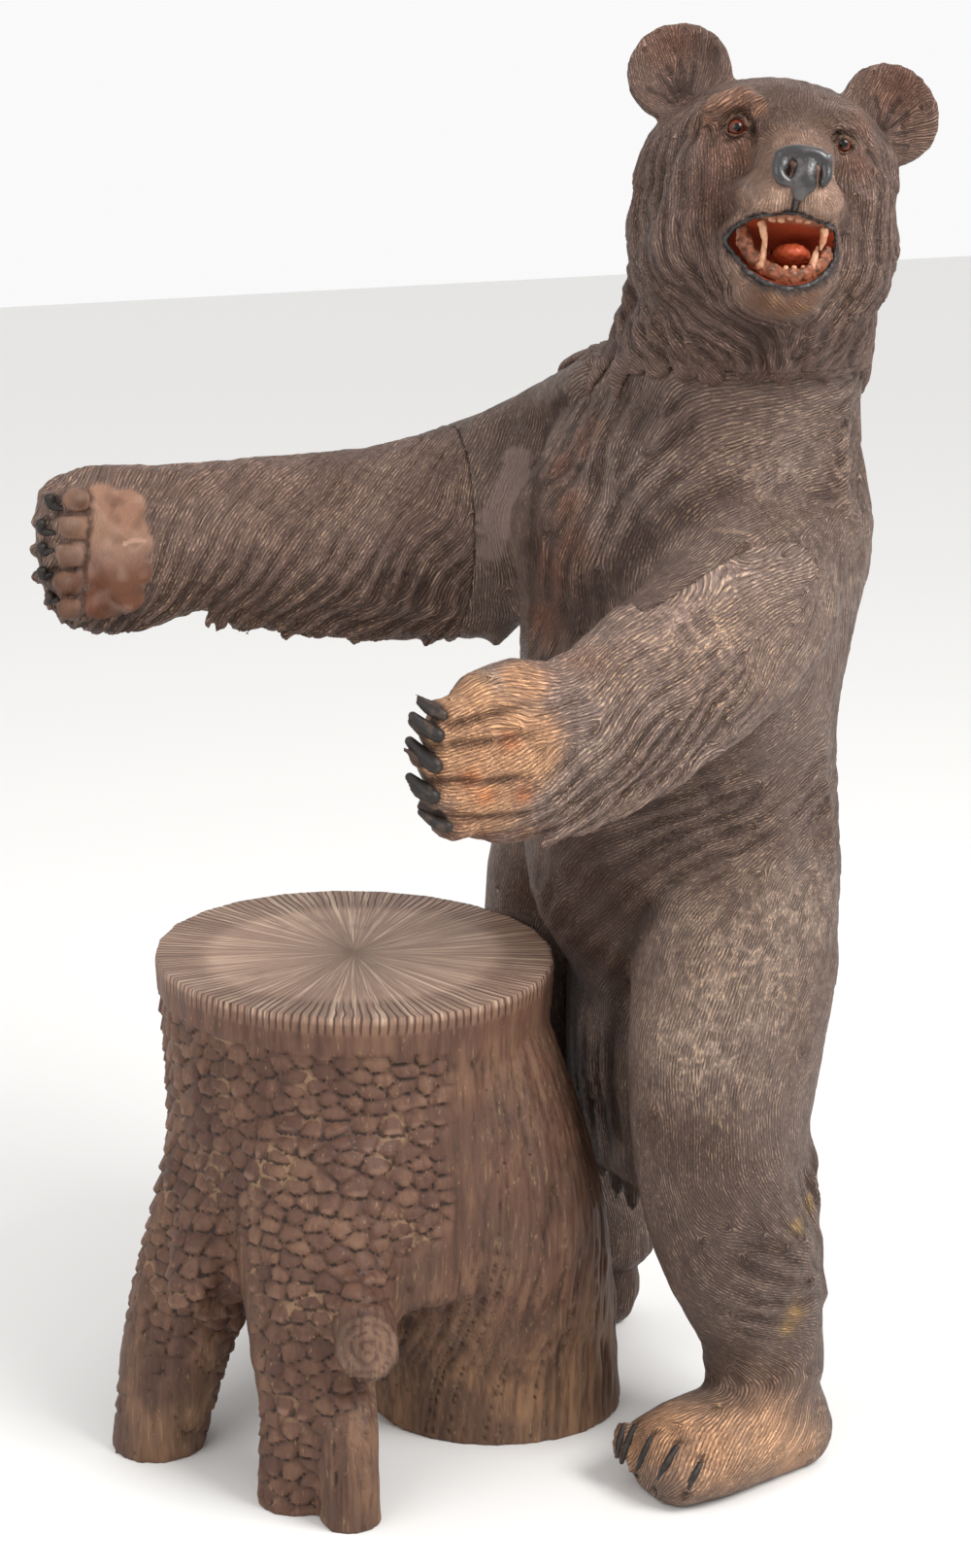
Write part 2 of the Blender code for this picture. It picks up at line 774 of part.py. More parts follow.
def right_arm_region(gap):
    shift = Vector(RIGHT_JOINT_NORMAL).normalized() * gap
    return half_space(
        f"right arm region {gap}", Vector(RIGHT_JOINT) + shift, RIGHT_JOINT_NORMAL, (-0.095, -0.3), (0.2, 0.3)
    )


def left_arm_region(gap):
    """Outside the flank, and all of the forearm in front of the chest."""
    low, high = LEFT_ARM_HEIGHTS
    beside = cutter(f"beside the flank {gap}", (LEFT_JOINT_X + gap, -0.1, low), (BIG, BIG, high))
    before = cutter(f"before the chest {gap}", (0.120, -BIG, low), (BIG - 1, LEFT_JOINT_Y - gap, high))
    return joined(f"left arm region {gap}", beside.data, before.data)


clear_scene()
pieces = bpy.data.collections.new("carved wooden bear")
cutters = bpy.data.collections.new("cutters")
for made in (pieces, cutters):
    bpy.context.scene.collection.children.link(made)

dark_fur = wood("dark stained wood", (0.13, 0.09, 0.07), 0.55)
arm_wood = wood("arm stained wood", (0.14, 0.09, 0.07), 0.55)
head_wood = wood("head stained wood", (0.12, 0.085, 0.065), 0.5)
bark = wood("stump stained wood", (0.13, 0.08, 0.06), 0.6)
eye_glass = wood("brown glass", (0.05, 0.02, 0.01), 0.05)

below_floor = cutter("below floor", (-BIG, -BIG, -1), (BIG, BIG, 0))
left_claws = points_of("left hand claws", left_hand_claws(), LEFT_CLAW_RADIUS)
right_claws = points_of("right hand claws", right_hand_claws(), RIGHT_CLAW_RADIUS)
toe_claws = points_of("foot claws", foot_claws(), TOE_CLAW_RADIUS)
above_neck = cutter("above neck joint", (-BIG, -BIG, NECK_JOINT_HEIGHT), (BIG, BIG, BIG))
below_neck = cutter("below neck joint", (-BIG, -BIG, 0), (BIG, BIG, NECK_JOINT_HEIGHT + JOINT_GAP))
above_seat = cutter("above seat", (-BIG, -BIG, SEAT_HEIGHT), (BIG, BIG, BIG))

body_clay = Clay("body form")
model_trunk(body_clay)
model_legs(body_clay)
trunk_skin = body_clay.skin(2 * BODY_GRID)
model_right_arm(body_clay)
model_left_arm(body_clay)
model_hair(body_clay, trunk_skin)
body_form = body_clay.fused(BODY_GRID, 8, BODY_FACES)
body = piece("bear_body", body_form.copy(), dark_fur)
cut(body, below_floor)
cut(body, above_neck)
cut(body, right_arm_region(0.0))
cut(body, left_arm_region(0.0))
cut(body, toe_claws, "UNION")
right_arm = piece("right_arm", body_form.copy(), arm_wood)
cut(right_arm, right_arm_region(JOINT_GAP), "INTERSECT")
cut(right_arm, right_claws, "UNION")
left_arm = piece("left_arm", body_form, arm_wood)
cut(left_arm, left_arm_region(JOINT_GAP), "INTERSECT")
cut(left_arm, left_claws, "UNION")

head_clay = Clay("head form")
model_head(head_clay)
model_ruff(head_clay, head_clay.skin(2 * HEAD_GRID))
mouth_clay = Clay("mouth hollow", sides=16, steps=2)
model_mouth(mouth_clay)
open_head = opened(head_clay.fused(HEAD_GRID, 4, None), tool_from(mouth_clay))
toothed_clay = Clay("head with its teeth", sides=16, steps=3)
toothed_clay.lumps.from_mesh(open_head)
model_tongue(toothed_clay)
add_points(toothed_clay, mouth_teeth(), TOOTH_RADIUS)
head = piece("bear_head", toothed_clay.fused(MOUTH_GRID, 1, HEAD_FACES), head_wood)
cut(head, below_neck)
for eye_name, eye_centre in EYES.items():
    socket = Clay(eye_name + " socket", sides=12)
    socket.ball(eye_centre, [EYE_RADIUS + JOINT_GAP] * 3, place=head_place())
    cut(head, tool_from(socket))
    eye_clay = Clay(eye_name + " form", sides=12)
    eye_clay.ball(eye_centre, [EYE_RADIUS] * 3, place=head_place())
    eye_mesh = bpy.data.meshes.new(eye_name)
    eye_clay.lumps.to_mesh(eye_mesh)
    eye_clay.lumps.free()
    piece(eye_name, eye_mesh, eye_glass)

stump_clay = Clay("stump form")
model_stump(stump_clay)
stump = piece("stump_seat", stump_clay.fused(STUMP_GRID, 8, STUMP_FACES), bark)
cut(stump, below_floor)
cut(stump, above_seat)
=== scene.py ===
"""Looks of the carved wooden bear that stands behind its tree-stump seat.

Metres, +Z up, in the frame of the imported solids. Each block of wood is grown from its solid, smoothed,
combed and carved: combing guides give the lie of the hair, and bands that follow them give the locks and
the gouge strokes. Stain, wear and paint are laid on the same blocks.
"""

import itertools
import math

import bmesh
import bpy
import numpy as np
from mathutils import Matrix, Vector
from mathutils.bvhtree import BVHTree
from mathutils.kdtree import KDTree


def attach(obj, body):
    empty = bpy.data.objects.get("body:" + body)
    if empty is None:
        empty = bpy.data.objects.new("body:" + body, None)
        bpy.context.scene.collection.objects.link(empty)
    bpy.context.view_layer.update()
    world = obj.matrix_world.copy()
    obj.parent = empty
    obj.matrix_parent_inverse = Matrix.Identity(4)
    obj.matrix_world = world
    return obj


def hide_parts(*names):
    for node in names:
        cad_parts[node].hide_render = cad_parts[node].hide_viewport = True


bl_info = {
    "name": "Carved Wooden Bear Seat",
    "version": (1, 0, 0),
    "blender": (4, 5, 0),
    "location": "3D View > Sidebar > Carved Bear",
    "description": "Carves, stains and paints the wooden bear and its tree-stump seat",
    "category": "Add Mesh",
}

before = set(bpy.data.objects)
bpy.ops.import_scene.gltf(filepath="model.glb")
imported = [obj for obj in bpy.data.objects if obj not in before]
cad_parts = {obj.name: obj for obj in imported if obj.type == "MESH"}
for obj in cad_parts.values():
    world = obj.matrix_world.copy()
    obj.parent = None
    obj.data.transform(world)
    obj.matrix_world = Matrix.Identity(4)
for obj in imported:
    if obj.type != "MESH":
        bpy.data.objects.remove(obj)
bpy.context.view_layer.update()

# Where the picture was taken from, in its own pixels
FOCAL = 3000.0
MIDDLE = (500.0, 807.0)
LONG_SIDE = 1614
STANDPOINT = Vector((2.591, -1.500, 1.54))
LOOKING_DOWN = math.radians(15)
LOOKING = Vector((-0.866, 0.5, 0))

HEAD_CENTRE = Vector((0.138, 0.253, 1.353))
HEAD_TURN = (
    Matrix.Rotation(math.radians(63), 4, "Z")
    @ Matrix.Rotation(math.radians(-15.5), 4, "X")
    @ Matrix.Rotation(math.radians(8.5), 4, "Y")
)
HEAD = Matrix.Translation(HEAD_CENTRE) @ HEAD_TURN
EYES = {"eye_right": Vector((-0.057, -0.103, 0.036)), "eye_left": Vector((0.048, -0.103, 0.035))}
EYE_RADIUS = 0.0095
NECK_JOINT = ((0, 0, 1.186), (0, 0, 1))
RIGHT_JOINT = ((-0.159, 0.049, 0.984), (-0.22, -0.97, 0.0))
SEAT_HEIGHT = 0.535
SEAT_MIDDLE = (-0.112, -0.106)


def tone(*screen):
    """A colour named by its screen values from 0 to 255, as the shader wants it."""
    shares = [value / 255 for value in screen]
    return tuple(s / 12.92 if s < 0.0404 else ((s + 0.055) / 1.055) ** 2.4 for s in shares)


def colour_setting(name, description, *screen):
    """A colour for the user to change, its default named by screen values."""
    return bpy.props.FloatVectorProperty(
        name=name, description=description, subtype="COLOR", default=tone(*screen)
    )


def length_setting(name, description, metres):
    """A length for the user to change."""
    return bpy.props.FloatProperty(name=name, description=description, default=metres, unit="LENGTH")


class BearColours(bpy.types.PropertyGroup):
    """Stains and paints."""

    stain: colour_setting("Stain", "Brown stain on the hair", 122, 104, 95)
    # Painted shade: the hair shader lays this colour in the cuts, the grooves between locks and the hollows
    deep: colour_setting("Deep stain", "Stain left in the hollows", 58, 42, 36)
    ochre: colour_setting("Worn wood", "Ochre wood on rubbed ridges", 196, 164, 118)
    russet: colour_setting("Russet", "Warm stain on chest and face", 138, 86, 60)
    tan: colour_setting("Paw tan", "Rubbed paws and foot", 216, 166, 126)
    bark: colour_setting("Bark stain", "Red-brown stain on the stump", 98, 69, 55)
    seat: colour_setting("Seat", "Greyed wood of the seat", 196, 162, 140)
    black: colour_setting("Black paint", "Claws and lips", 36, 31, 29)
    slate: colour_setting("Nose paint", "Slate grey nose", 40, 36, 37)
    gum: colour_setting("Gum paint", "Orange gums", 140, 82, 56)
    palate: colour_setting("Palate paint", "Dark red roof of the mouth", 150, 62, 36)
    tongue: colour_setting("Tongue paint", "Orange-red tongue", 190, 84, 50)
    tooth: colour_setting("Tooth paint", "Cream teeth", 184, 138, 106)
    amber: colour_setting("Iris", "Amber ring of the glass eye", 92, 38, 22)
    floor: colour_setting("Floor", "Pale studio floor", 232, 231, 229)


class BearSizes(bpy.types.PropertyGroup):
    """Fineness and depth of the carving."""

    body_grid: length_setting("Body fineness", "Grid of the body's surface", 0.0050)
    head_grid: length_setting("Head fineness", "Grid of the head's surface", 0.0028)
    arm_grid: length_setting("Arm fineness", "Grid of the arms' surface", 0.0024)
    stump_grid: length_setting("Stump fineness", "Grid of the stump's surface", 0.0040)
    lock: length_setting("Lock width", "Width of a lock of hair", 0.026)
    lock_depth: length_setting("Lock depth", "Depth between the locks", 0.0105)
    strand_depth: length_setting("Strand depth", "Depth of a gouge stroke", 0.0011)
    scale: length_setting("Bark scale", "Width of a bark scale", 0.0255)
    scale_depth: length_setting("Bark scale depth", "Depth between the bark scales", 0.0066)


class BearStage(bpy.types.PropertyGroup):
    """Floor and studio light."""

    key: bpy.props.FloatProperty(
        name="Key light", description="Power of the large light", default=172.0, unit="POWER"
    )
    fill: bpy.props.FloatProperty(
        name="Fill light", description="Power of the second light", default=46.0, unit="POWER"
    )
    sky: bpy.props.FloatProperty(name="Surround", description="Strength of the pale surround", default=0.95)
    floor_reach: length_setting("Floor reach", "Half width of the floor", 12.0)


def colours():
    return bpy.context.scene.bear_colours


def sizes():
    return bpy.context.scene.bear_sizes


class Sight:
    """The picture's own view, which turns its pixels into places on a block."""

    forward = (LOOKING * math.cos(LOOKING_DOWN) - Vector((0, 0, math.sin(LOOKING_DOWN)))).normalized()
    right = forward.cross(Vector((0, 0, 1))).normalized()
    up = right.cross(forward)

    @classmethod
    def ray(cls, u, v):
        across, down = (u - MIDDLE[0]) / FOCAL, (v - MIDDLE[1]) / FOCAL
        return (cls.forward + cls.right * across - cls.up * down).normalized()

    @classmethod
    def at_depth(cls, u, v, like):
        """The place behind this pixel that is as far off as the point like."""
        ray = cls.ray(u, v)
        reach = (like - STANDPOINT).dot(cls.forward) / ray.dot(cls.forward)
        return STANDPOINT + ray * reach


def on_face(u, v, y):
    """The place behind this pixel at a depth y in the head's own directions, -Y being forward."""
    normal = HEAD_TURN.to_3x3() @ Vector((0, 1, 0))
    ray = Sight.ray(u, v)
    reach = (HEAD_CENTRE + normal * y - STANDPOINT).dot(normal) / ray.dot(normal)
    return STANDPOINT + ray * reach


def column(items, name, width, kind=np.float64):
    """One property of all a mesh's points, edges or triangles as an array."""
    values = np.empty(len(items) * width, np.float32 if kind is np.float64 else np.int32)
    items.foreach_get(name, values)
    return values.reshape(-1, width).astype(kind)


def unit(rows):
    return rows / np.maximum(np.linalg.norm(rows, axis=1, keepdims=True), 1e-9)


def wander(points, size, seed, waves=12):
    """Smooth noise of about this size, from -1 to 1."""
    rng = np.random.default_rng(seed)
    way = unit(rng.normal(size=(waves, 3))) * (math.tau / size) * rng.uniform(0.6, 1.5, (waves, 1))
    start = rng.uniform(0, math.tau, waves)
    total = np.zeros(len(points))
    for k in range(waves):
        total += np.sin(points @ way[k] + start[k])
    return np.clip(total / math.sqrt(waves) / 1.4, -1, 1)


def step(values, low, high):
    """0 below low, 1 above high, smooth between; low may be the larger."""
    t = np.clip((values - low) / (high - low), 0, 1)
    return t * t * (3 - 2 * t)


def smooth_path(stations, steps):
    """Catmull-Rom steps between stations of equal length."""
    points = [np.array(s, float) for s in stations]
    ends = [points[0] * 2 - points[1], *points, points[-1] * 2 - points[-2]]
    path = []
    for before, start, stop, after in zip(ends, ends[1:], ends[2:], ends[3:]):
        for k in range(steps):
            t = k / steps
            path.append(
                0.5
                * (
                    2 * start
                    + (stop - before) * t
                    + (2 * before - 5 * start + 4 * stop - after) * t**2
                    + (3 * start - before - 3 * stop + after) * t**3
                )
            )
    return [*path, points[-1]]


class Shapes:
    """Closed lumps and rods gathered in one mesh."""

    def __init__(self, sides=20):
        self.bm = bmesh.new()
        self.sides = sides

    def ball(self, centre, radii, turn=Matrix()):
        matrix = turn @ Matrix.Translation(centre) @ Matrix.Diagonal((*radii, 1))
        bmesh.ops.create_uvsphere(
            self.bm, u_segments=self.sides, v_segments=self.sides // 2, radius=1, matrix=matrix
        )

    def rod(self, stations, side=(0, 0, 1), steps=4, cap=0.8):
        """A round-ended rod through (x, y, z, half width along side, half thickness if it differs)."""
        rows = [s if len(s) == 5 else (*s, s[3]) for s in stations]
        path = smooth_path(rows, steps)
        centres = [Vector(p[:3]) for p in path]
        side = Vector(side)
        rings = []
        for k, centre in enumerate(centres):
            along = (centres[min(k + 1, len(path) - 1)] - centres[max(k - 1, 0)]).normalized()
            across = (side - along * side.dot(along)).normalized()
            rings.append((centre, along, across, path[k][3], path[k][4]))
        for end, way in ((0, -cap), (-1, cap)):
            centre, along, across, width, height = rings[end]
            extra = []
            for k in (1, 2, 3):
                angle = math.radians(28 * k)
                reach = along * (way * min(width, height) * math.sin(angle))
                shrink = math.cos(angle)
                extra.append((centre + reach, along, across, width * shrink, height * shrink))
            rings = [*extra[::-1], *rings] if end == 0 else [*rings, *extra]
        loops = [self._loop(*ring) for ring in rings]
        for first, second in zip(loops, loops[1:]):
            for k in range(self.sides):
                n = (k + 1) % self.sides
                self.bm.faces.new((first[k], first[n], second[n], second[k]))
        self.bm.faces.new(loops[0][::-1])
        self.bm.faces.new(loops[-1])

    def _loop(self, centre, along, across, width, height):
        up = along.cross(across)
        loop = []
        for k in range(self.sides):
            angle = math.tau * k / self.sides
            place = centre + across * (width * math.cos(angle)) + up * (height * math.sin(angle))
            loop.append(self.bm.verts.new(place))
        return loop

    def skin(self, rings, closed=True):
        """Faces between rings of equal length, with ends filled."""
        loops = [[self.bm.verts.new(p) for p in ring] for ring in rings]
        count = len(loops[0])
        for first, second in zip(loops, loops[1:]):
            for k in range(count):
                n = (k + 1) % count
                self.bm.faces.new((first[k], first[n], second[n], second[k]))
        if closed:
            self.bm.faces.new(loops[0][::-1])
            self.bm.faces.new(loops[-1])

    def mesh(self, name):
        bmesh.ops.recalc_face_normals(self.bm, faces=self.bm.faces)
        made = bpy.data.meshes.new(name)
        self.bm.to_mesh(made)
        self.bm.free()
        return made


def with_modifiers(mesh, *settings):
    """The mesh after these modifiers, each given as (kind, {setting: value})."""
    obj = bpy.data.objects.new(mesh.name, mesh)
    bpy.context.scene.collection.objects.link(obj)
    for kind, values in settings:
        modifier = obj.modifiers.new(kind.lower(), kind)
        for name, value in values.items():
            setattr(modifier, name, value)
    graph = bpy.context.evaluated_depsgraph_get()
    graph.update()
    made = bpy.data.meshes.new_from_object(obj.evaluated_get(graph))
    bpy.data.objects.remove(obj)
    return made


def voxels(size):
    return ("REMESH", {"mode": "VOXEL", "voxel_size": size})


def solid_mesh(node):
    """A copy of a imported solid's mesh with its points joined."""
    bm = bmesh.new()
    bm.from_mesh(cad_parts[node].data)
    bmesh.ops.remove_doubles(bm, verts=bm.verts, dist=1e-5)
    mesh = bpy.data.meshes.new(node)
    bm.to_mesh(mesh)
    bm.free()
    return mesh


def together(name, *meshes):
    """These meshes as one."""
    bm = bmesh.new()
    for mesh in meshes:
        bm.from_mesh(mesh)
    made = bpy.data.meshes.new(name)
    bm.to_mesh(made)
    bm.free()
    return made


class Block:
    """A block being carved: its points, its neighbours, and what is painted on it."""

    def __init__(self, mesh):
        self.mesh = mesh
        self.stain = None
        self.points = column(mesh.vertices, "co", 3)
        ends = column(mesh.edges, "vertices", 2, np.int64)
        self.near = np.concatenate([ends[:, 0], ends[:, 1]])
        self.far = np.concatenate([ends[:, 1], ends[:, 0]])
        self.links = np.maximum(np.bincount(self.near, minlength=len(self.points)), 1)
        mesh.calc_loop_triangles()
        self.triangles = column(mesh.loop_triangles, "vertices", 3, np.int64)
        self.find_normals()

    def find_normals(self):
        """Each point's outward way, from the triangles round it."""
        a, b, c = (self.points[self.triangles[:, k]] for k in range(3))
        faces = np.cross(b - a, c - a)
        total = np.zeros_like(self.points)
        for corner in range(3):
            for axis in range(3):
                total[:, axis] += np.bincount(
                    self.triangles[:, corner], faces[:, axis], minlength=len(self.points)
                )
        self.normals = unit(total)

    def spread(self, values):
        """Each point's value as the mean of its neighbours'."""
        if values.ndim == 1:
            return np.bincount(self.near, values[self.far], minlength=len(self.points)) / self.links
        return np.stack([self.spread(values[:, k]) for k in range(values.shape[1])], axis=1)

    def smooth(self, rounds, where=1.0):
        """Takes facets and steps out while keeping the size."""
        where = np.asarray(where, float).reshape(-1, 1)
        for k in range(rounds):
            for factor in (0.55, -0.57):
                self.points += (self.spread(self.points) - self.points) * factor * where
        self.find_normals()

    def hollow(self, rounds):
        """How far each point lies below the surface around it."""
        around = self.points
        for k in range(rounds):
            around = self.spread(around)
        return ((around - self.points) * self.normals).sum(axis=1)

    def push(self, amounts):
        """Moves each point outward by its amount."""
        self.points += self.normals * np.asarray(amounts).reshape(-1, 1)
        self.find_normals()

    def flat(self, joint, within, out=0.0):
        """Points within this distance of a plane, and facing it, go back onto it, or past it by out."""
        place, normal = np.array(joint[0], float), np.array(joint[1], float)
        normal /= np.linalg.norm(normal)
        gap = (self.points - place) @ normal
        on = (np.abs(gap) < within) & (np.abs(self.normals @ normal) > 0.4)
        self.points[on] -= normal * (gap[on] - out)[:, None]

    def stand(self):
        """No point goes below the floor."""
        self.points[:, 2] = np.maximum(self.points[:, 2], 0)

    def make_tree(self):
        """The shape that pixels are looked up on; it stays while the carving goes on."""
        self.tree = BVHTree.FromPolygons(self.points.tolist(), self.triangles.tolist())

    def seen(self, u, v):
        """The place and outward way on the block behind this pixel, or the nearest place to its line."""
        place, normal = self.tree.ray_cast(STANDPOINT, Sight.ray(u, v))[:2]
        if place is None:
            like = Vector(self.points.mean(axis=0))
            place, normal = self.tree.find_nearest(Sight.at_depth(u, v, like))[:2]
        return place, normal

    def spot(self, u, v, radius):
        """A soft spot round the place behind a pixel."""
        return self.ball(self.seen(u, v)[0], radius)

    def ball(self, place, radius):
        """A soft spot round a place, 1 in its middle."""
        away = ((self.points - np.array(place)) ** 2).sum(axis=1)
        return np.exp(-away / radius**2)

    def spots(self, *spots):
        """Soft spots round several pixels, each (u, v, radius)."""
        total = np.zeros(len(self.points))
        for u, v, radius in spots:
            total = np.maximum(total, self.spot(u, v, radius))
        return total

    def from_line(self, path):
        """Each point's distance from a line through these places."""
        nearest = np.full(len(self.points), 1e9)
        path = np.array([tuple(p) for p in path])
        for a, b in zip(path, path[1:]):
            along = b - a
            t = np.clip(((self.points - a) @ along) / max(along @ along, 1e-12), 0, 1)
            away = np.linalg.norm(self.points - a - t[:, None] * along, axis=1)
            nearest = np.minimum(nearest, away)
        return nearest

    def line(self, *pixels):
        """Each point's distance from a line drawn on the block through these pixels."""
        return self.from_line([self.seen(u, v)[0] for u, v in pixels])

    def lines(self, drawn):
        """Each point's distance from the nearest of several drawn lines."""
        return np.min([self.line(*pixels) for pixels in drawn], axis=0)

    def comb(self, drawn, placed, rest, reach=0.05):
        """The lie of the hair, from strokes through pixels, strokes in space, and a way for the rest."""
        guides = []
        for stroke in drawn:
            hits = [self.seen(u, v) for u, v in stroke]
            guides += [(a[0], b[0] - a[0], a[1]) for a, b in zip(hits, hits[1:])]
        for stroke in placed:
            hits = [self.tree.find_nearest(Vector(p))[:2] for p in stroke]
            guides += [(a[0], b[0] - a[0], a[1]) for a, b in zip(hits, hits[1:])]
        field = np.array(rest, float) * 0.004 * np.ones_like(self.points)
        for place, way, normal in guides:
            away = ((self.points - np.array(place + way * 0.5)) ** 2).sum(axis=1)
            facing = np.clip(self.normals @ np.array(normal) + 0.35, 0, 1)
            weight = np.exp(-away / (2 * reach**2)) * facing
            field += weight[:, None] * np.array(way.normalized())
        evening_rounds = 10
        for k in range(evening_rounds):
            field -= self.normals * (field * self.normals).sum(axis=1, keepdims=True)
            field = self.spread(field)
        field -= self.normals * (field * self.normals).sum(axis=1, keepdims=True)
        return unit(field)

    def swing(self, comb, angle, size, seed):
        """The comb with a wave in it: angle in degrees, size of the waves in metres."""
        turn = np.radians(angle) * wander(self.points, size, seed)
        turn = turn[:, None]
        return unit(comb * np.cos(turn) + np.cross(self.normals, comb) * np.sin(turn))

    def bands(self, way, spacing, rounds):
        """An angle that grows by a full turn for each spacing along way, and how steadily it does.

        It spreads from one point to its neighbours and is then evened out for a number of rounds, so a
        block has to hang together.
        """
        pull = way / spacing * math.tau
        i, j = self.near, self.far
        turn = ((pull[i] + pull[j]) * 0.5 * (self.points[i] - self.points[j])).sum(axis=1)
        spin = np.exp(1j * turn)
        wave = np.zeros(len(self.points), complex)
        wave[np.argmin(((self.points - self.points.mean(axis=0)) ** 2).sum(axis=1))] = 1
        left = rounds
        while left > 0:
            moved = wave[j] * spin
            total = np.bincount(i, moved.real, minlength=len(wave)) + 1j * np.bincount(
                i, moved.imag, minlength=len(wave)
            )
            size = np.abs(total)
            wave = np.where(size > 1e-6, total / np.maximum(size, 1e-9), wave)
            left -= (wave != 0).all()
        return np.angle(wave), size / self.links

    def prime(self, colour):
        """Starts the stain as one colour."""
        self.stain = np.ones_like(self.points) * np.array(colour)

    def wash(self, colour, mask):
        """Lays a colour over the stain, as strongly as the mask says."""
        mask = np.clip(np.asarray(mask, float), 0, 1).reshape(-1, 1)
        self.stain = self.stain * (1 - mask) + np.array(colour) * mask

    def dab(self, colour, spots, strength=1.0):
        """Lays a colour over soft spots round pixels."""
        self.wash(colour, self.spots(*spots) * strength)

    def keep(self, name, *fields):
        """Stores one field, or three as a vector, on the mesh for the shader."""
        kind, part = ("FLOAT", "value") if len(fields) == 1 else ("FLOAT_VECTOR", "vector")
        stored = self.mesh.attributes.new(name, kind, "POINT")
        stored.data.foreach_set(part, np.stack(fields, axis=1).astype(np.float32).ravel())

    def write(self):
        """Puts the carved points back into the mesh."""
        self.mesh.vertices.foreach_set("co", self.points.astype(np.float32).ravel())
        self.mesh.update()

    def finished(self, name, material, slot, *replaced):
        """The block as a piece of the scene."""
        self.write()
        if self.stain is not None:
            self.keep("stain", *self.stain.T)
        piece(name, self.mesh, material, slot, *replaced)


def piece(name, mesh, material, slot, *replaced):
    """A mesh as a piece on the one body, in place of the solids that it replaces."""
    mesh.name = name
    obj = bpy.data.objects.new(name, mesh)
    bpy.context.scene.collection.objects.link(obj)
    mesh.materials.clear()
    mesh.materials.append(material)
    mesh.shade_smooth()
    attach(obj, "root")
    if replaced:
        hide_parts(*replaced)


class Shade:
    """One output of a shader node; sums and products on it add their Math nodes."""

    def __init__(self, recipe, socket):
        self.recipe = recipe
        self.socket = socket

    def _math(self, operation, *others):
        values = dict(enumerate((self, *others)))
        return self.recipe.node("ShaderNodeMath", {"operation": operation}, values)

    def __add__(self, other):
        return self._math("ADD", other)

    __radd__ = __add__

    def __mul__(self, other):
        return self._math("MULTIPLY", other)

    __rmul__ = __mul__

    def __sub__(self, other):
        return self._math("SUBTRACT", other)

    def __rsub__(self, other):
        return self.recipe.node("ShaderNodeMath", {"operation": "SUBTRACT"}, {0: other, 1: self})

    def __truediv__(self, other):
        return self._math("DIVIDE", other)

    def __pow__(self, other):
        return self._math("POWER", other)

    def sine(self):
        return self._math("SINE")

    def most(self, other):
        return self._math("MAXIMUM", other)

    def size(self):
        return self._math("ABSOLUTE")

    def clipped(self):
        return self.recipe.node("ShaderNodeClamp", {}, {"Value": self})

    def ramp(self, low, high):
        """0 below low, 1 above high, smooth between."""
        values = {"Value": self, "From Min": low, "From Max": high}
        return self.recipe.node("ShaderNodeMapRange", {"interpolation_type": "SMOOTHSTEP"}, values)


class Recipe:
    """A material being put together from shader nodes."""

    def __init__(self, name):
        self.material = bpy.data.materials.new(name)
        self.material.use_nodes = True
        self.tree = self.material.node_tree
        self.shader = self.tree.nodes["Principled BSDF"]

    def node(self, kind, settings, values, output=0):
        """A node with its settings made first, then the values or links of its sockets."""
        made = self.tree.nodes.new(kind)
        for name, value in settings.items():
            setattr(made, name, value)
        for key, value in values.items():
            self.give(made.inputs[key], value)
        return Shade(self, made.outputs[output])

    def give(self, socket, value):
        """Links a socket or sets it."""
        if isinstance(value, Shade):
            self.tree.links.new(value.socket, socket)
        elif isinstance(value, (int, float)):
            socket.default_value = value
        elif len(value) == 3 and socket.type == "RGBA":
            socket.default_value = (*value, 1)
        else:
            socket.default_value = value

    def field(self, name, output="Fac"):
        """What a block has kept under this name."""
        return self.node("ShaderNodeAttribute", {"attribute_name": name}, {}, output)

    def parts(self, vector):
        return [self.node("ShaderNodeSeparateXYZ", {}, {0: vector}, k) for k in range(3)]

    def vector(self, x, y, z):
        return self.node("ShaderNodeCombineXYZ", {}, {0: x, 1: y, 2: z})

    def place(self):
        return self.node("ShaderNodeTexCoord", {}, {}, "Object")

    def noise(self, scale, detail=2.0, at=None, rough=0.5):
        values = {"Vector": at or self.place(), "Scale": scale, "Detail": detail, "Roughness": rough}
        return self.node("ShaderNodeTexNoise", {}, values, "Fac")

    def streak(self, cosine, sine, lie_cosine, lie_sine, fine):
        """Noise drawn out along the hair."""
        slow = self.noise(12, 1) * 9.0
        at = self.vector(cosine * fine, sine * fine, lie_cosine * 1.1)
        values = {"Vector": at, "W": lie_sine * 1.1 + slow, "Scale": 1.6, "Detail": 2.0, "Roughness": 0.6}
        made = self.node("ShaderNodeTexNoise", {"noise_dimensions": "4D"}, values, "Fac")
        return made.ramp(0.36, 0.64)

    def vector_math(self, operation, *values, output=0):
        return self.node("ShaderNodeVectorMath", {"operation": operation}, dict(enumerate(values)), output)

    def mix(self, factor, first, second, kind="MIX"):
        settings = {"data_type": "RGBA", "blend_type": kind}
        return self.node("ShaderNodeMix", settings, {0: factor, 6: first, 7: second}, 2)

    def made(self, colour, roughness, height=None, depth=0.001, strength=1.0, coat=0.0, **constants):
        """The material, with a bump from height and these constants of its shader."""
        self.give(self.shader.inputs["Base Color"], colour)
        self.give(self.shader.inputs["Roughness"], roughness)
        self.shader.inputs["Coat Weight"].default_value = coat
        for name, value in constants.items():
            self.shader.inputs[name.replace("_", " ")].default_value = value
        if height is not None:
            values = {"Height": height, "Distance": depth, "Strength": strength}
            bump = self.node("ShaderNodeBump", {}, values)
            self.give(self.shader.inputs["Normal"], bump)
        return self.material


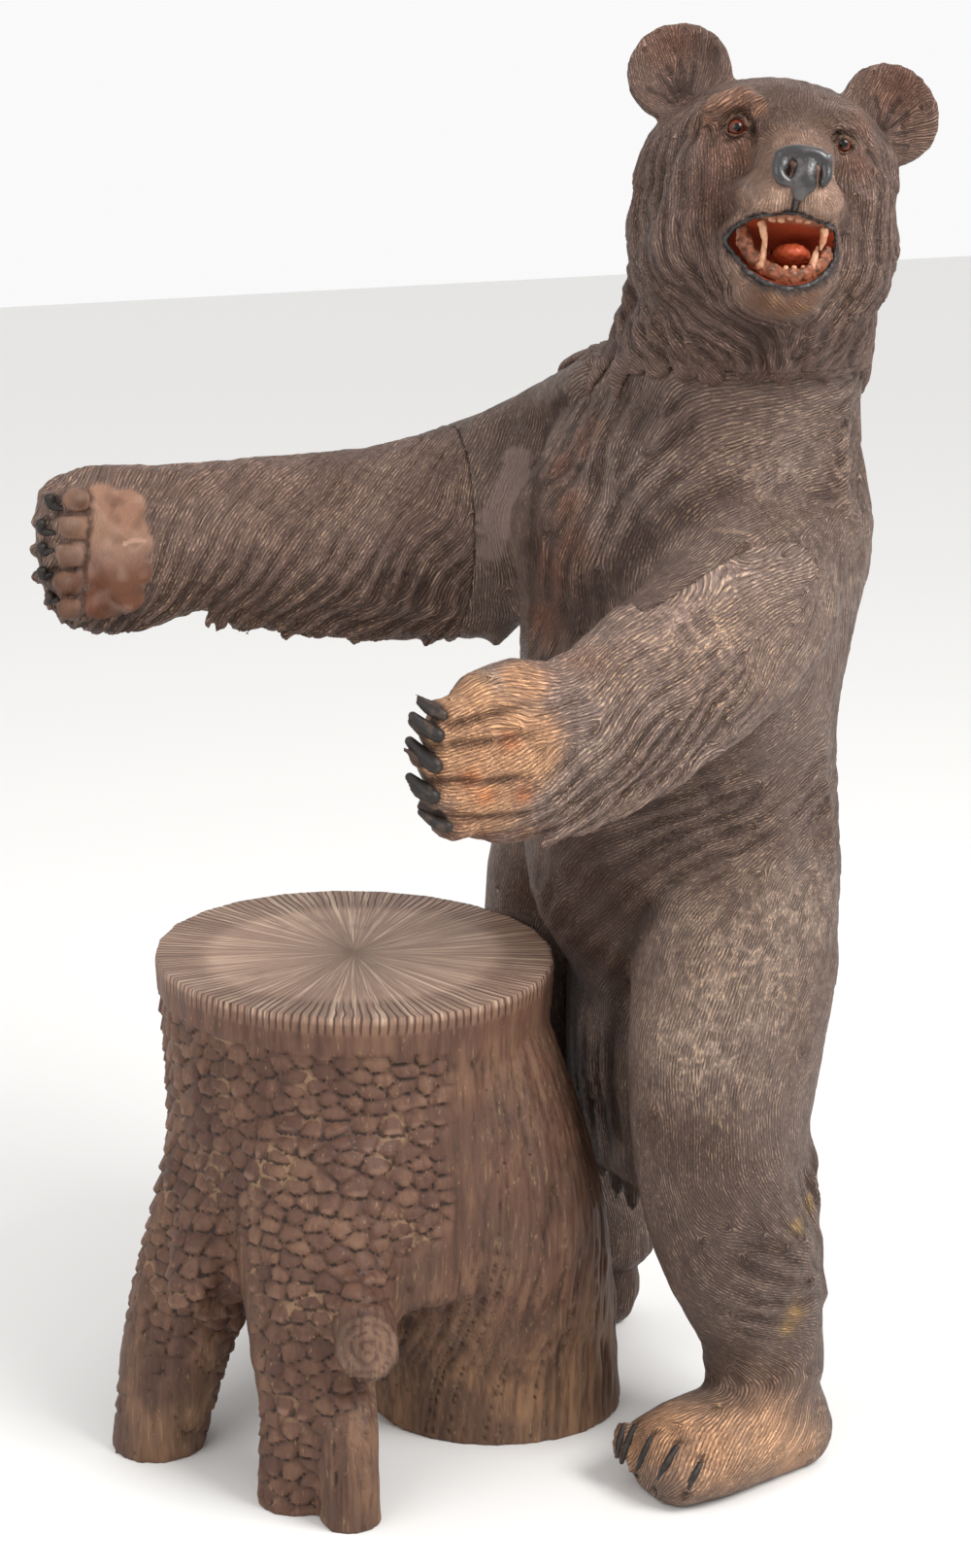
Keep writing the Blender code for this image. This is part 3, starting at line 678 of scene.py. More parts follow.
def hair_wood(name, turns):
    """Carved and stained hair, with painted shade in its cuts, grooves and hollows and painted highlights
    on its ridges; turns is the number of fine strokes in one stored band.
    """
    mat = Recipe(name)
    paint = colours()
    cosine, sine, cavity = mat.parts(mat.field("band", "Vector"))
    lie_cosine, lie_sine, steady = mat.parts(mat.field("lie", "Vector"))
    wear, ticks, plain = mat.parts(mat.field("finish", "Vector"))
    stain = mat.field("stain", "Color")
    lock_cosine, shag = mat.field("lock"), mat.field("shag")
    live = 1 - plain
    angle = mat.node("ShaderNodeMath", {"operation": "ARCTAN2"}, {0: sine, 1: cosine})
    first = ((angle * turns + mat.noise(38, 2) * 9.0) * 0.5).sine().size() ** 0.6
    second = ((angle * (turns + 2) + mat.noise(52, 2) * 10.0) * 0.5).sine().size() ** 0.5
    both = mat.noise(30, 2).ramp(0.42, 0.58)
    stroke = first * (1 - (1 - second) * both)
    streak = mat.streak(cosine, sine, lie_cosine, lie_sine, turns * 0.30)
    breaks = mat.noise(80, 1).ramp(0.38, 0.60)
    ticked = 1 - (1 - stroke) * breaks
    strokes = (stroke * 0.68 + streak * 0.32) * steady + streak * (1 - steady)
    cut = strokes * (1 - ticks) + (ticked * 0.8 + streak * 0.2) * ticks
    cut = cut * live + plain * 0.6
    broad = mat.noise(9, 3)
    grain = mat.noise(320, 2)
    rubbed = mat.noise(19, 3).ramp(0.25, 0.80)
    worn = (cut.ramp(0.60, 0.95) * streak.ramp(0.60, 0.95) * rubbed * wear * live).clipped()
    wavy = lock_cosine + (mat.noise(60, 3) - 0.5) * 1.3
    groove = wavy.ramp(-0.70, -1.05) + (wavy * wavy).ramp(0.06, 0.0) * 0.5
    groove = groove * shag.ramp(0.20, 0.90) * mat.noise(24, 2).ramp(0.42, 0.62) * live
    # Painted shade: the deep colour is laid in the strokes' cuts, the grooves between locks, the block's
    # hollows and between the streaks
    shadow = (cavity.ramp(0.60, -0.10) * 0.52 + (1 - cut) * live * 0.95 + groove * 0.55).clipped()
    base = mat.mix(broad.ramp(0.35, 0.65) * 0.6, stain, mat.mix(1.0, stain, (0.74, 0.66, 0.62), "MULTIPLY"))
    base = mat.mix((1 - streak) * live * 0.35, base, mat.mix(0.6, base, tuple(paint.deep)))
    base = mat.mix(shadow, base, mat.mix(0.9, base, tuple(paint.deep)))
    # Painted highlight: the ridges of the strokes are made lighter
    ridge = cut.ramp(0.70, 0.98) * streak.ramp(0.35, 0.80) * live
    lit = mat.mix(ridge * 0.75, base, mat.mix(1.0, base, (1.60, 1.56, 1.52), "MULTIPLY"))
    lit = mat.mix(worn, lit, tuple(paint.ochre))
    lit = mat.mix(grain.ramp(0.62, 0.8) * 0.10, lit, tuple(paint.ochre))
    rough = 0.50 - cut * 0.12 + grain * 0.12
    height = cut + streak * 0.25 + grain * 0.10 - groove * 0.7
    return mat.made(lit, rough, height, depth=0.0017, strength=1.0, Specular_IOR_Level=0.24)


# Strokes of hair drawn through pixels, each the way that the hair lies
RIGHT_ARM_FLOW = [
    [(560, 420), (520, 470), (500, 520), (470, 560)],
    [(480, 450), (450, 500), (420, 545), (380, 590), (330, 620)],
    [(420, 470), (395, 510), (365, 555), (330, 600), (290, 630)],
    [(360, 480), (340, 520), (310, 560), (280, 600), (240, 632)],
    [(300, 485), (280, 520), (255, 560), (230, 600), (195, 630)],
    [(240, 490), (222, 520), (200, 560), (180, 600)],
    [(190, 495), (178, 530), (165, 570), (160, 610)],
    [(520, 590), (470, 600), (420, 615), (370, 640)],
    [(520, 620), (490, 640), (460, 655)],
    [(520, 500), (510, 560), (500, 600)],
]
LEFT_ARM_FLOW = [
    [(785, 570), (740, 562), (700, 560), (665, 570), (635, 600), (600, 640)],
    [(770, 600), (720, 592), (680, 598), (645, 620), (610, 655), (570, 680)],
    [(760, 640), (750, 670), (735, 700)],
    [(720, 625), (705, 660), (680, 700), (650, 735)],
    [(690, 640), (660, 680), (625, 720), (600, 750)],
    [(650, 640), (620, 665), (590, 690), (550, 700)],
    [(800, 650), (790, 700), (765, 740), (730, 790)],
    [(740, 710), (715, 750), (690, 790), (670, 830)],
    [(680, 720), (660, 760), (630, 800), (600, 850)],
    [(620, 740), (590, 780), (560, 820), (520, 850)],
    [(600, 690), (560, 700), (520, 700), (480, 705), (445, 715)],
    [(590, 720), (550, 735), (500, 740), (450, 740)],
    [(580, 750), (540, 765), (490, 775), (450, 775)],
    [(570, 780), (530, 800), (480, 808), (450, 805)],
    [(560, 820), (520, 835), (480, 845), (455, 840)],
]
BODY_FLOW = [
    [(655, 385), (627, 433), (603, 465), (587, 505), (583, 540), (575, 590)],
    [(727, 392), (675, 447), (648, 487), (640, 520), (645, 555)],
    [(787, 427), (715, 457), (672, 495), (655, 540)],
    [(830, 450), (750, 483), (705, 515), (672, 545)],
    [(870, 470), (800, 510), (740, 540), (700, 548)],
    [(860, 400), (800, 410), (740, 400)],
    [(610, 385), (580, 430), (560, 480), (553, 540)],
    [(600, 560), (600, 600), (590, 640)],
    [(560, 560), (550, 610), (542, 660)],
    [(883, 430), (882, 500), (880, 560)],
    [(850, 560), (840, 640), (820, 720)],
    [(870, 620), (862, 690), (840, 750)],
    [(820, 600), (815, 660), (800, 720)],
    [(845, 755), (790, 785), (745, 797), (705, 810)],
    [(862, 800), (800, 830), (740, 850), (680, 850), (630, 850)],
    [(860, 850), (800, 876), (740, 890), (690, 912), (650, 940), (615, 975)],
    [(660, 855), (620, 880), (590, 920), (575, 960)],
    [(700, 850), (655, 905), (615, 940), (580, 980)],
    [(520, 870), (525, 905), (532, 940)],
    [(550, 870), (553, 905), (556, 945)],
    [(600, 960), (598, 1040), (606, 1130), (618, 1215)],
    [(640, 960), (632, 1040), (630, 1130), (640, 1215)],
    [(690, 930), (665, 985), (655, 1050), (655, 1110)],
    [(730, 925), (710, 980), (700, 1050)],
    [(790, 910), (780, 980), (765, 1050), (750, 1110)],
    [(845, 900), (838, 980), (825, 1050), (790, 1110)],
    [(680, 1090), (678, 1160), (680, 1230), (700, 1300)],
    [(740, 1110), (735, 1160), (745, 1190)],
    [(820, 1110), (790, 1150), (760, 1180)],
    [(750, 1190), (790, 1185), (830, 1225)],
    [(715, 1260), (760, 1285), (820, 1290)],
    [(710, 1310), (760, 1330), (830, 1330)],
    [(720, 1360), (765, 1375), (830, 1370)],
    [(735, 1410), (770, 1400), (820, 1385)],
    [(735, 1425), (700, 1440), (665, 1455), (645, 1480)],
    [(745, 1440), (715, 1470), (690, 1500), (670, 1520)],
    [(780, 1440), (750, 1480), (720, 1520)],
    [(825, 1435), (800, 1480), (765, 1530)],
    [(848, 1430), (845, 1470), (830, 1510)],
]
HEAD_FLOW = [
    [(692, 120), (670, 150), (658, 190), (655, 240)],
    [(700, 120), (685, 155), (680, 200), (690, 250)],
    [(712, 120), (703, 155), (705, 200), (722, 240)],
    [(735, 140), (738, 175), (748, 215)],
    [(762, 148), (758, 180), (752, 215)],
    [(660, 240), (672, 290), (700, 330), (740, 360)],
    [(690, 250), (708, 290), (735, 325), (775, 350)],
    [(722, 240), (735, 280), (760, 310), (795, 335)],
    [(650, 290), (655, 330), (672, 365)],
    [(905, 135), (915, 180), (913, 230), (900, 280), (875, 320)],
    [(888, 160), (896, 205), (893, 250), (880, 295), (850, 330)],
    [(872, 170), (880, 210), (880, 250), (868, 290)],
    [(905, 300), (880, 340), (850, 365)],
    [(830, 340), (810, 360), (790, 375)],
    [(815, 145), (808, 115), (800, 88)],
    [(845, 145), (850, 120), (850, 98)],
    [(785, 140), (775, 112), (765, 90)],
    [(800, 190), (785, 205), (772, 222)],
    [(845, 195), (858, 208), (868, 225)],
    [(735, 120), (745, 105), (765, 95), (780, 100)],
    [(880, 125), (890, 140), (900, 160)],
    [(700, 96), (685, 75), (668, 58)],
    [(703, 92), (700, 65), (695, 35)],
    [(708, 92), (722, 68), (735, 45)],
    [(695, 100), (672, 95), (655, 82)],
    [(905, 130), (905, 105), (905, 80)],
    [(910, 128), (925, 105), (935, 82)],
    [(912, 132), (935, 122), (958, 112)],
    [(912, 138), (930, 145), (945, 150)],
    [(780, 300), (795, 315), (812, 325)],
]
# Soft spots on the body: a pixel each, with a radius in metres
SHAGGY = (
    (760, 840, 0.06), (680, 860, 0.06), (620, 900, 0.06), (840, 820, 0.05), (600, 960, 0.05),
    (720, 880, 0.05), (570, 940, 0.04), (600, 430, 0.045), (640, 430, 0.045), (585, 480, 0.05),
    (620, 480, 0.045), (655, 490, 0.04), (600, 540, 0.045), (640, 540, 0.035), (575, 600, 0.045),
    (600, 640, 0.03), (560, 680, 0.04), (690, 440, 0.035), (690, 500, 0.03), (610, 1120, 0.07),
    (640, 1000, 0.04), (800, 1300, 0.05), (835, 1230, 0.04), (835, 1330, 0.03), (780, 1350, 0.04),
)
RUFFLED = (
    (740, 440, 0.06), (800, 440, 0.05), (760, 490, 0.05), (700, 520, 0.04), (860, 760, 0.05),
    (820, 720, 0.05), (760, 1200, 0.05), (700, 1250, 0.05), (740, 1390, 0.04),
)
SHORT_THIGH = ((760, 1000, 0.10), (700, 1080, 0.08), (800, 940, 0.05), (840, 600, 0.07))
SHORT_FOOT = ((740, 1480, 0.07), (800, 1490, 0.07))
WORN_PATCH = ((532, 474, 0.020), (530, 492, 0.024), (522, 515, 0.026), (512, 540, 0.026), (506, 565, 0.020))
# Painted shade under the arms, on the belly below the left paw and on the far leg
PAINTED_SHADE_SPOTS = (
    (600, 900, 0.05), (590, 950, 0.05), (560, 620, 0.05), (640, 930, 0.04), (545, 480, 0.03),
    (548, 560, 0.04), (550, 700, 0.05), (600, 850, 0.04), (650, 1240, 0.03), (650, 1330, 0.06),
    (540, 920, 0.04), (660, 900, 0.03),
)
REDDISH = (
    (575, 480, 0.024), (585, 520, 0.022), (600, 455, 0.02), (560, 640, 0.03), (590, 560, 0.02),
    (570, 590, 0.025), (610, 440, 0.015),
)
PALE_THIGH = ((760, 1000, 0.10), (800, 940, 0.07), (710, 1060, 0.07))
# Painted light on the locks that hang between the leg and the stump, in the stump's shade
PAINTED_LIGHT_LOCKS = ((606, 1060, 0.030), (612, 1110, 0.040), (622, 1180, 0.035))
DARK_BELLY = ((590, 880, 0.06), (620, 920, 0.055), (570, 930, 0.05), (600, 970, 0.045))
DARK_SHIN = ((760, 1290, 0.07), (740, 1390, 0.05), (720, 1180, 0.05), (735, 1250, 0.05))
DARK_ANKLE = ((760, 1425, 0.022), (735, 1420, 0.018), (800, 1418, 0.022))
FOOT_TOP = ((690, 1470, 0.05), (740, 1490, 0.055), (790, 1480, 0.05), (820, 1500, 0.04), (650, 1490, 0.03))
OCHRE_HEEL = ((820, 1350, 0.013), (812, 1365, 0.010), (832, 1240, 0.012), (822, 1262, 0.010))
RUBBED = (
    (760, 1000, 0.11), (820, 940, 0.08), (700, 1090, 0.08), (800, 640, 0.07), (870, 470, 0.05),
    (740, 1480, 0.08), (820, 1490, 0.06),
)
SHELTERED = ((600, 900, 0.09), (590, 980, 0.07), (560, 600, 0.07), (620, 1100, 0.08))
TICKED = (
    (760, 1000, 0.12), (720, 1090, 0.08), (830, 930, 0.07), (840, 620, 0.09), (800, 480, 0.06),
    (870, 480, 0.05),
)
TOES = (
    (648, 1492, 0.008), (664, 1500, 0.010), (684, 1510, 0.011), (706, 1518, 0.011), (732, 1522, 0.012),
    (632, 1480, 0.008),
)
# Lines drawn on the body through pixels
CHEST_FOLD = ((745, 505), (700, 530), (672, 545), (645, 575), (620, 605), (590, 640))
THIGH_FOLD = ((700, 905), (672, 935), (648, 970), (634, 1020), (628, 1080), (632, 1150), (642, 1220))
ARM_FOLD = ((580, 408), (562, 450), (553, 500), (552, 560), (545, 640))
SHOULDER_SEAM = ((738, 546), (765, 548), (790, 562), (802, 588), (802, 620))
SHOULDER_SLOPE = ((606, 397), (569, 417), (531, 437), (500, 452))
TOE_GROOVES = (
    ((643, 1462), (637, 1502)),
    ((655, 1464), (641, 1508)),
    ((674, 1474), (655, 1521)),
    ((700, 1483), (674, 1535)),
    ((724, 1500), (705, 1541)),
)
# Strokes of hair in space, on the back and the right leg, which the picture doesn't show
BACK_FLOW = [
    [(0.05, 0.42, 1.15), (0.05, 0.42, 1.0), (0.04, 0.42, 0.85), (0.03, 0.41, 0.7), (0.03, 0.38, 0.55)],
    [(-0.10, 0.36, 1.1), (-0.12, 0.37, 0.95), (-0.12, 0.36, 0.8), (-0.12, 0.35, 0.65)],
    [(0.18, 0.36, 1.1), (0.20, 0.37, 0.95), (0.19, 0.36, 0.8), (0.18, 0.35, 0.65)],
    [(-0.20, 0.20, 0.80), (-0.20, 0.20, 0.70), (-0.22, 0.20, 0.58), (-0.24, 0.20, 0.45)],
    [(-0.18, 0.30, 0.45), (-0.17, 0.31, 0.33), (-0.16, 0.32, 0.22), (-0.15, 0.31, 0.10)],
    [(0.18, 0.28, 0.50), (0.20, 0.27, 0.36), (0.22, 0.28, 0.22), (0.23, 0.28, 0.10)],
    [(-0.15, 0.15, 0.35), (-0.16, 0.17, 0.22), (-0.17, 0.16, 0.12), (-0.20, 0.12, 0.06)],
]
# Rods of fur on the right hip, each station with its radius, and the places that are smoothed over
HIP_OUTSIDE = ((-0.099, 0.1625, 0.87, 0.040), (-0.1426, 0.1687, 0.74, 0.052), (-0.178, 0.179, 0.62, 0.056))
HIP_INSIDE = ((-0.12, 0.26, 0.82, 0.040), (-0.14, 0.262, 0.73, 0.050), (-0.15, 0.255, 0.62, 0.055))
SMOOTHED_HIP = ((-0.15, 0.29, 0.715), (-0.19, 0.17, 0.71))
SMOOTHED_RADIUS = 0.06

# Soft spots on the right arm and its open palm
PALM = (
    (105, 520, 0.026), (130, 520, 0.024), (105, 550, 0.028), (130, 550, 0.028), (145, 560, 0.016),
    (105, 585, 0.028), (130, 585, 0.028), (105, 620, 0.024), (130, 615, 0.022), (80, 515, 0.016),
    (74, 542, 0.017), (72, 572, 0.017), (70, 600, 0.017), (70, 625, 0.015), (146, 590, 0.014),
)
PAD_LUMPS = ((83, 513, 0.0145), (74, 542, 0.0155), (72, 572, 0.0145), (70, 600, 0.0145), (72, 626, 0.0130))
PAD_ROUNDS = ((81, 513, 0.012), (75, 543, 0.013), (71, 572, 0.013), (69, 601, 0.012), (71, 628, 0.011))
PAD_TONE = ((83, 513, 0.012), (74, 542, 0.012), (72, 572, 0.010), (70, 600, 0.011), (72, 626, 0.010))
FINGER_ENDS = ((57, 515, 0.008), (48, 537, 0.008), (46, 561, 0.009), (46, 588, 0.009), (50, 613, 0.008))
# Painted shade under the forearm
SHADE_UNDER_ARM = ((500, 590, 0.03), (430, 600, 0.03), (450, 560, 0.02))
PALM_LIGHT = (100, 545, 0.016)
PALM_SCRATCH = ((128, 560), (138, 556), (150, 557))
PALM_CREASE = (
    (90, 500), (95, 511), (92, 528), (93, 542), (89, 557),
    (90, 572), (86, 586), (87, 600), (85, 614), (86, 636),
)
PAD_GAPS = (
    ((60, 529), (78, 529), (92, 528)),
    ((54, 557), (74, 558), (90, 557)),
    ((52, 587), (72, 587), (87, 586)),
    ((54, 614), (72, 615), (86, 614)),
    PALM_CREASE,
)
FAR_RIGHT_ARM_FLOW = [
    [(-0.25, 0.05, 1.05), (-0.27, -0.05, 1.0), (-0.28, -0.15, 0.97)],
    [(-0.26, 0.05, 0.95), (-0.28, -0.08, 0.93), (-0.29, -0.20, 0.95)],
    [(-0.28, -0.2, 1.03), (-0.29, -0.3, 1.03), (-0.30, -0.36, 1.0)],
]
# Soft spots and lines on the left arm and its paw
PAW = (
    (470, 780, 0.055), (510, 760, 0.060), (540, 770, 0.050), (500, 830, 0.045), (480, 720, 0.04),
    (540, 700, 0.03),
)
LEFT_SHAGGY = ((650, 790, 0.05), (700, 760, 0.05), (600, 820, 0.04), (740, 730, 0.04))
PAW_ORANGE = ((525, 762, 0.010), (500, 820, 0.011), (540, 818, 0.010), (485, 802, 0.010), (470, 695, 0.012))
PAW_SHADE = ((470, 855, 0.02), (500, 862, 0.02), (455, 800, 0.012), (540, 858, 0.02), (455, 735, 0.01))
PALE_WRIST = ((600, 680, 0.025), (560, 690, 0.02))
LEFT_RUBBED = ((740, 660, 0.06), (690, 630, 0.05), (600, 700, 0.05))
LEFT_TICKED = ((740, 660, 0.05), (700, 640, 0.05))
FINGER_TIPS = (
    (448, 729, 0.009), (443, 752, 0.0095), (441, 783, 0.011), (440, 815, 0.011), (452, 846, 0.009),
)
FOREARM_EDGE = ((742, 770), (700, 802), (655, 828), (610, 846), (575, 856))
PAW_GROOVES = (
    ((463, 748), (500, 738), (550, 722)),
    ((449, 769), (492, 765), (545, 757)),
    ((446, 804), (492, 806), (545, 800)),
    ((452, 838), (495, 843), (545, 838)),
)
FAR_LEFT_ARM_FLOW = [
    [(0.17, 0.05, 0.90), (0.19, -0.05, 0.88), (0.20, -0.15, 0.87)],
    [(0.17, 0.05, 0.84), (0.19, -0.05, 0.82), (0.21, -0.15, 0.82)],
]
# Each claw from its root to its tip
CLAWS = {
    "left": (
        ((456, 736), (443, 731), (432, 723)),
        ((451, 757), (437, 748), (425, 737)),
        ((448, 788), (435, 777), (422, 763)),
        ((446, 820), (434, 811), (422, 800)),
        ((460, 851), (447, 845), (434, 836)),
    ),
    "right": (
        ((50, 512), (54, 520), (64, 524)),
        ((42, 538), (44, 546), (56, 549)),
        ((43, 562), (45, 568), (55, 566)),
        ((43, 587), (45, 593), (54, 591)),
        ((51, 612), (53, 618), (60, 617)),
    ),
    "foot": (
        ((643, 1467), (638, 1485), (635, 1500)),
        ((654, 1468), (646, 1487), (640, 1506)),
        ((671, 1480), (662, 1500), (655, 1518)),
        ((697, 1489), (685, 1510), (675, 1532)),
        ((721, 1507), (713, 1522), (706, 1537)),
    ),
}

# Lines on the head
UPPER_LIP = (
    (748, 245), (757, 235), (772, 226), (785, 222), (800, 220),
    (815, 219), (832, 223), (847, 230), (858, 236),
)
LOWER_LIP = (
    (861, 248), (860, 262), (856, 274), (845, 286), (830, 294),
    (812, 297), (790, 291), (770, 279), (757, 263), (749, 252),
)
CHIN_PART_OF_RIM = slice(10, 17)
LIP_CLEFT = ((823, 198), (820, 207), (818, 217))
RIGHT_LID_FOLD = ((741, 131), (750, 120), (760, 114), (768, 119), (775, 134), (777, 150))
LEFT_LID_FOLD = ((858, 146), (864, 138), (873, 138), (880, 146))
# Lines along the ears' grooves, where shade is painted
EAR_FOLDS = (
    ((703, 100), (697, 84), (688, 68)),
    ((698, 102), (690, 90), (678, 78)),
    ((706, 96), (704, 80), (700, 64)),
    ((694, 106), (682, 98), (668, 92)),
    ((710, 94), (714, 80), (716, 68)),
    ((906, 132), (906, 116), (902, 100)),
    ((908, 132), (917, 116), (926, 102)),
    ((910, 135), (922, 126), (936, 118)),
    ((911, 139), (924, 138), (940, 134)),
    ((912, 144), (922, 148), (934, 150)),
)
BACK_OF_HEAD_FLOW = [
    [(0.10, 0.36, 1.40), (0.09, 0.38, 1.30), (0.08, 0.39, 1.20)],
    [(0.02, 0.30, 1.38), (0.00, 0.31, 1.28), (-0.02, 0.31, 1.20)],
    [(0.16, 0.36, 1.40), (0.17, 0.37, 1.30), (0.17, 0.37, 1.20)],
]
# Soft spots that shape the face
NOSE_BED = (
    (806, 160, 0.010), (822, 158, 0.011), (840, 160, 0.011), (850, 166, 0.009), (806, 176, 0.010),
    (828, 178, 0.012), (850, 180, 0.009),
)
CHIN = ((812, 313, 0.015), (796, 309, 0.012), (830, 310, 0.012))
LIP_PADS = ((796, 204, 0.015), (847, 207, 0.015))
BROWS = (
    (748, 104, 0.013), (764, 96, 0.013), (733, 112, 0.013), (776, 104, 0.010), (862, 124, 0.011),
    (878, 128, 0.013),
)
UNDER_EYES = ((745, 146, 0.011), (760, 147, 0.010), (868, 164, 0.010))
MUZZLE_HOLLOWS = ((783, 185, 0.012), (778, 200, 0.012), (866, 190, 0.010), (768, 215, 0.010))
# Soft spots that colour the head
PALE_PADS = ((793, 205, 0.017), (803, 196, 0.013), (785, 212, 0.013), (847, 207, 0.019), (858, 218, 0.013))
RED_CHEEKS = ((730, 205, 0.022), (742, 230, 0.018), (725, 180, 0.02), (890, 170, 0.018))
FOREHEAD = ((815, 112, 0.045), (800, 135, 0.028), (840, 125, 0.03), (790, 100, 0.03))
# Painted highlight on the brow ridge
BROW_HIGHLIGHT = ((730, 112, 0.014), (742, 102, 0.015), (757, 95, 0.013), (772, 100, 0.011), (780, 112, 0.009))
EYE_CORNERS = ((722, 128, 0.014), (738, 152, 0.016), (888, 128, 0.016), (880, 168, 0.014))
# Painted shade at the roots of the ears and under the jaw
EAR_ROOTS = ((700, 100, 0.02), (905, 135, 0.015), (785, 345, 0.02))
RUSSET_FACE = ((755, 110, 0.020), (735, 125, 0.018), (765, 160, 0.02), (690, 45, 0.03), (925, 90, 0.03))
GREY_MUZZLE = ((772, 205, 0.012), (768, 192, 0.010), (776, 218, 0.010))
BROWN_MUZZLE = ((752, 205, 0.014), (746, 225, 0.016), (756, 185, 0.012), (872, 205, 0.012))
BROWN_CHIN = ((790, 303, 0.020), (812, 310, 0.022), (835, 306, 0.018))
OCHRE_CHIN = ((795, 308, 0.007), (810, 320, 0.006), (826, 316, 0.006))
NOSTRIL_SHADE = ((812, 172, 0.009), (848, 178, 0.008))
SOCKET_SHADE = ((760, 130, 0.012), (870, 149, 0.010))
HEAD_RUBBED = ((665, 300, 0.04), (690, 340, 0.04), (880, 300, 0.03), (660, 220, 0.03))
# How deep, in metres, and how wide, as a share of the lips, the mouth's hollow and its lining go in
HOLLOW_STEPS = ((-0.030, 1.04), (0.0, 0.98), (0.012, 0.95), (0.030, 0.80), (0.050, 0.55), (0.064, 0.28))
LINING_STEPS = (
    (0.0, 0.985), (0.006, 0.95), (0.014, 0.86), (0.026, 0.74), (0.038, 0.58), (0.048, 0.36), (0.052, 0.12),
)
UPPER_LIP_RADII = (0.0030, 0.0022, 0.0016, 0.0014, 0.0013, 0.0013, 0.0014, 0.0016, 0.0019)
LOWER_LIP_RADII = (0.0022, 0.0024, 0.0024, 0.0026, 0.0028, 0.0028, 0.0028, 0.0026, 0.0026, 0.0028)

# Places in the mouth and on the face: a pixel and the depth in the head's own directions
TONGUE = (815, 264, -0.118)
CHEEK = ((764, 236, -0.146), (766, 246, -0.142), (771, 258, -0.143), (780, 270, -0.149))
LOWER_GUM = (
    (768, 256, -0.135), (778, 267, -0.147), (790, 277, -0.153), (812, 285, -0.158), (834, 281, -0.155),
    (846, 272, -0.148), (853, 260, -0.138),
)
FANGS = (
    ((784, 230, -0.162), (787, 242, -0.162), (789, 256, -0.160)),
    ((849, 237, -0.160), (848, 246, -0.160), (845, 257, -0.158)),
    ((783, 274, -0.150), (786, 262, -0.152), (786, 248, -0.154)),
    ((836, 277, -0.152), (839, 266, -0.153), (842, 254, -0.154)),
)
# Rods of the nose, each station with its half width and, where it differs, its half thickness
NOSE_TOP = (
    (804, 166, -0.206, 0.0058), (805, 160, -0.206, 0.0066), (814, 157, -0.207, 0.0070),
    (829, 157, -0.208, 0.0072), (843, 160, -0.208, 0.0068), (850, 166, -0.208, 0.0058),
)
RIGHT_WING = (
    (807, 160, -0.206, 0.0090, 0.0062), (804, 169, -0.207, 0.0086, 0.0060),
    (802, 178, -0.208, 0.0064, 0.0054), (808, 186, -0.208, 0.0056, 0.0046), (815, 188, -0.208, 0.0040),
)
LEFT_WING = (
    (851, 162, -0.208, 0.0066, 0.0058), (851, 172, -0.207, 0.0062, 0.0054),
    (851, 182, -0.207, 0.0056, 0.0052), (848, 189, -0.208, 0.0042),
)
NOSE_BRIDGE = (
    (831, 160, -0.207, 0.0160, 0.0070), (831, 170, -0.2075, 0.0118, 0.0068),
    (829, 180, -0.2085, 0.0112, 0.0066), (827, 189, -0.208, 0.0132, 0.0060),
    (824, 197, -0.206, 0.0090, 0.0050), (823, 204, -0.203, 0.0050, 0.0036),
)
NOSE_FOOT = (
    (822, 199, -0.203, 0.0040, 0.0030), (820, 208, -0.197, 0.0024, 0.0022),
    (818, 216, -0.190, 0.0020, 0.0018),
)
# Rods of the eyelids round the pixel of each eye
RIGHT_EYE = (760, 129.5)
LEFT_EYE = (869, 150)
RIGHT_UPPER_LID = (
    (746, 137, -0.101), (748, 127, -0.104), (752, 120, -0.107), (760, 118, -0.109), (767, 121, -0.111),
    (771, 131, -0.111),
)
RIGHT_LOWER_LID = ((746, 137, -0.101), (752, 140, -0.106), (760, 141, -0.108), (769, 137, -0.110))
LEFT_UPPER_LID = (
    (859, 151, -0.108), (862, 143, -0.110), (869, 140, -0.110), (876, 144, -0.108), (880, 152, -0.104),
)
LEFT_LOWER_LID = ((859, 151, -0.106), (864, 157, -0.108), (871, 159, -0.107), (879, 154, -0.102))
LIDS = (
    (RIGHT_EYE, RIGHT_UPPER_LID, 0.0019),
    (RIGHT_EYE, RIGHT_LOWER_LID, 0.0014),
    (LEFT_EYE, LEFT_UPPER_LID, 0.0026),
    (LEFT_EYE, LEFT_LOWER_LID, 0.0015),
)

# Soft spots on the stump
SCALY = (
    (200, 1100, 0.06), (260, 1120, 0.07), (330, 1120, 0.07), (400, 1120, 0.06), (200, 1200, 0.05),
    (260, 1220, 0.06), (330, 1220, 0.07), (400, 1230, 0.06), (300, 1310, 0.06), (370, 1310, 0.05),
    (290, 1400, 0.05), (330, 1420, 0.05), (290, 1490, 0.05), (290, 1550, 0.04), (190, 1300, 0.035),
    (185, 1340, 0.03), (420, 1150, 0.04), (425, 1250, 0.04),
)
BARE_WOOD = (
    (140, 1330, 0.035), (215, 1400, 0.04), (232, 1350, 0.015), (130, 1400, 0.06), (190, 1440, 0.05),
    (380, 1380, 0.028), (160, 1250, 0.02), (120, 1480, 0.04), (360, 1530, 0.04), (150, 1470, 0.06),
    (180, 1500, 0.06), (125, 1490, 0.05), (205, 1450, 0.04), (365, 1480, 0.03), (370, 1560, 0.03),
)
LEFT_ROOT = ((130, 1380, 0.06), (120, 1470, 0.05), (160, 1420, 0.04))
FRONT_FOOT = ((350, 1530, 0.06), (360, 1480, 0.06), (330, 1560, 0.05))
KNOT = (378, 1388)
BRANCH_ROOT = (366, 1325)


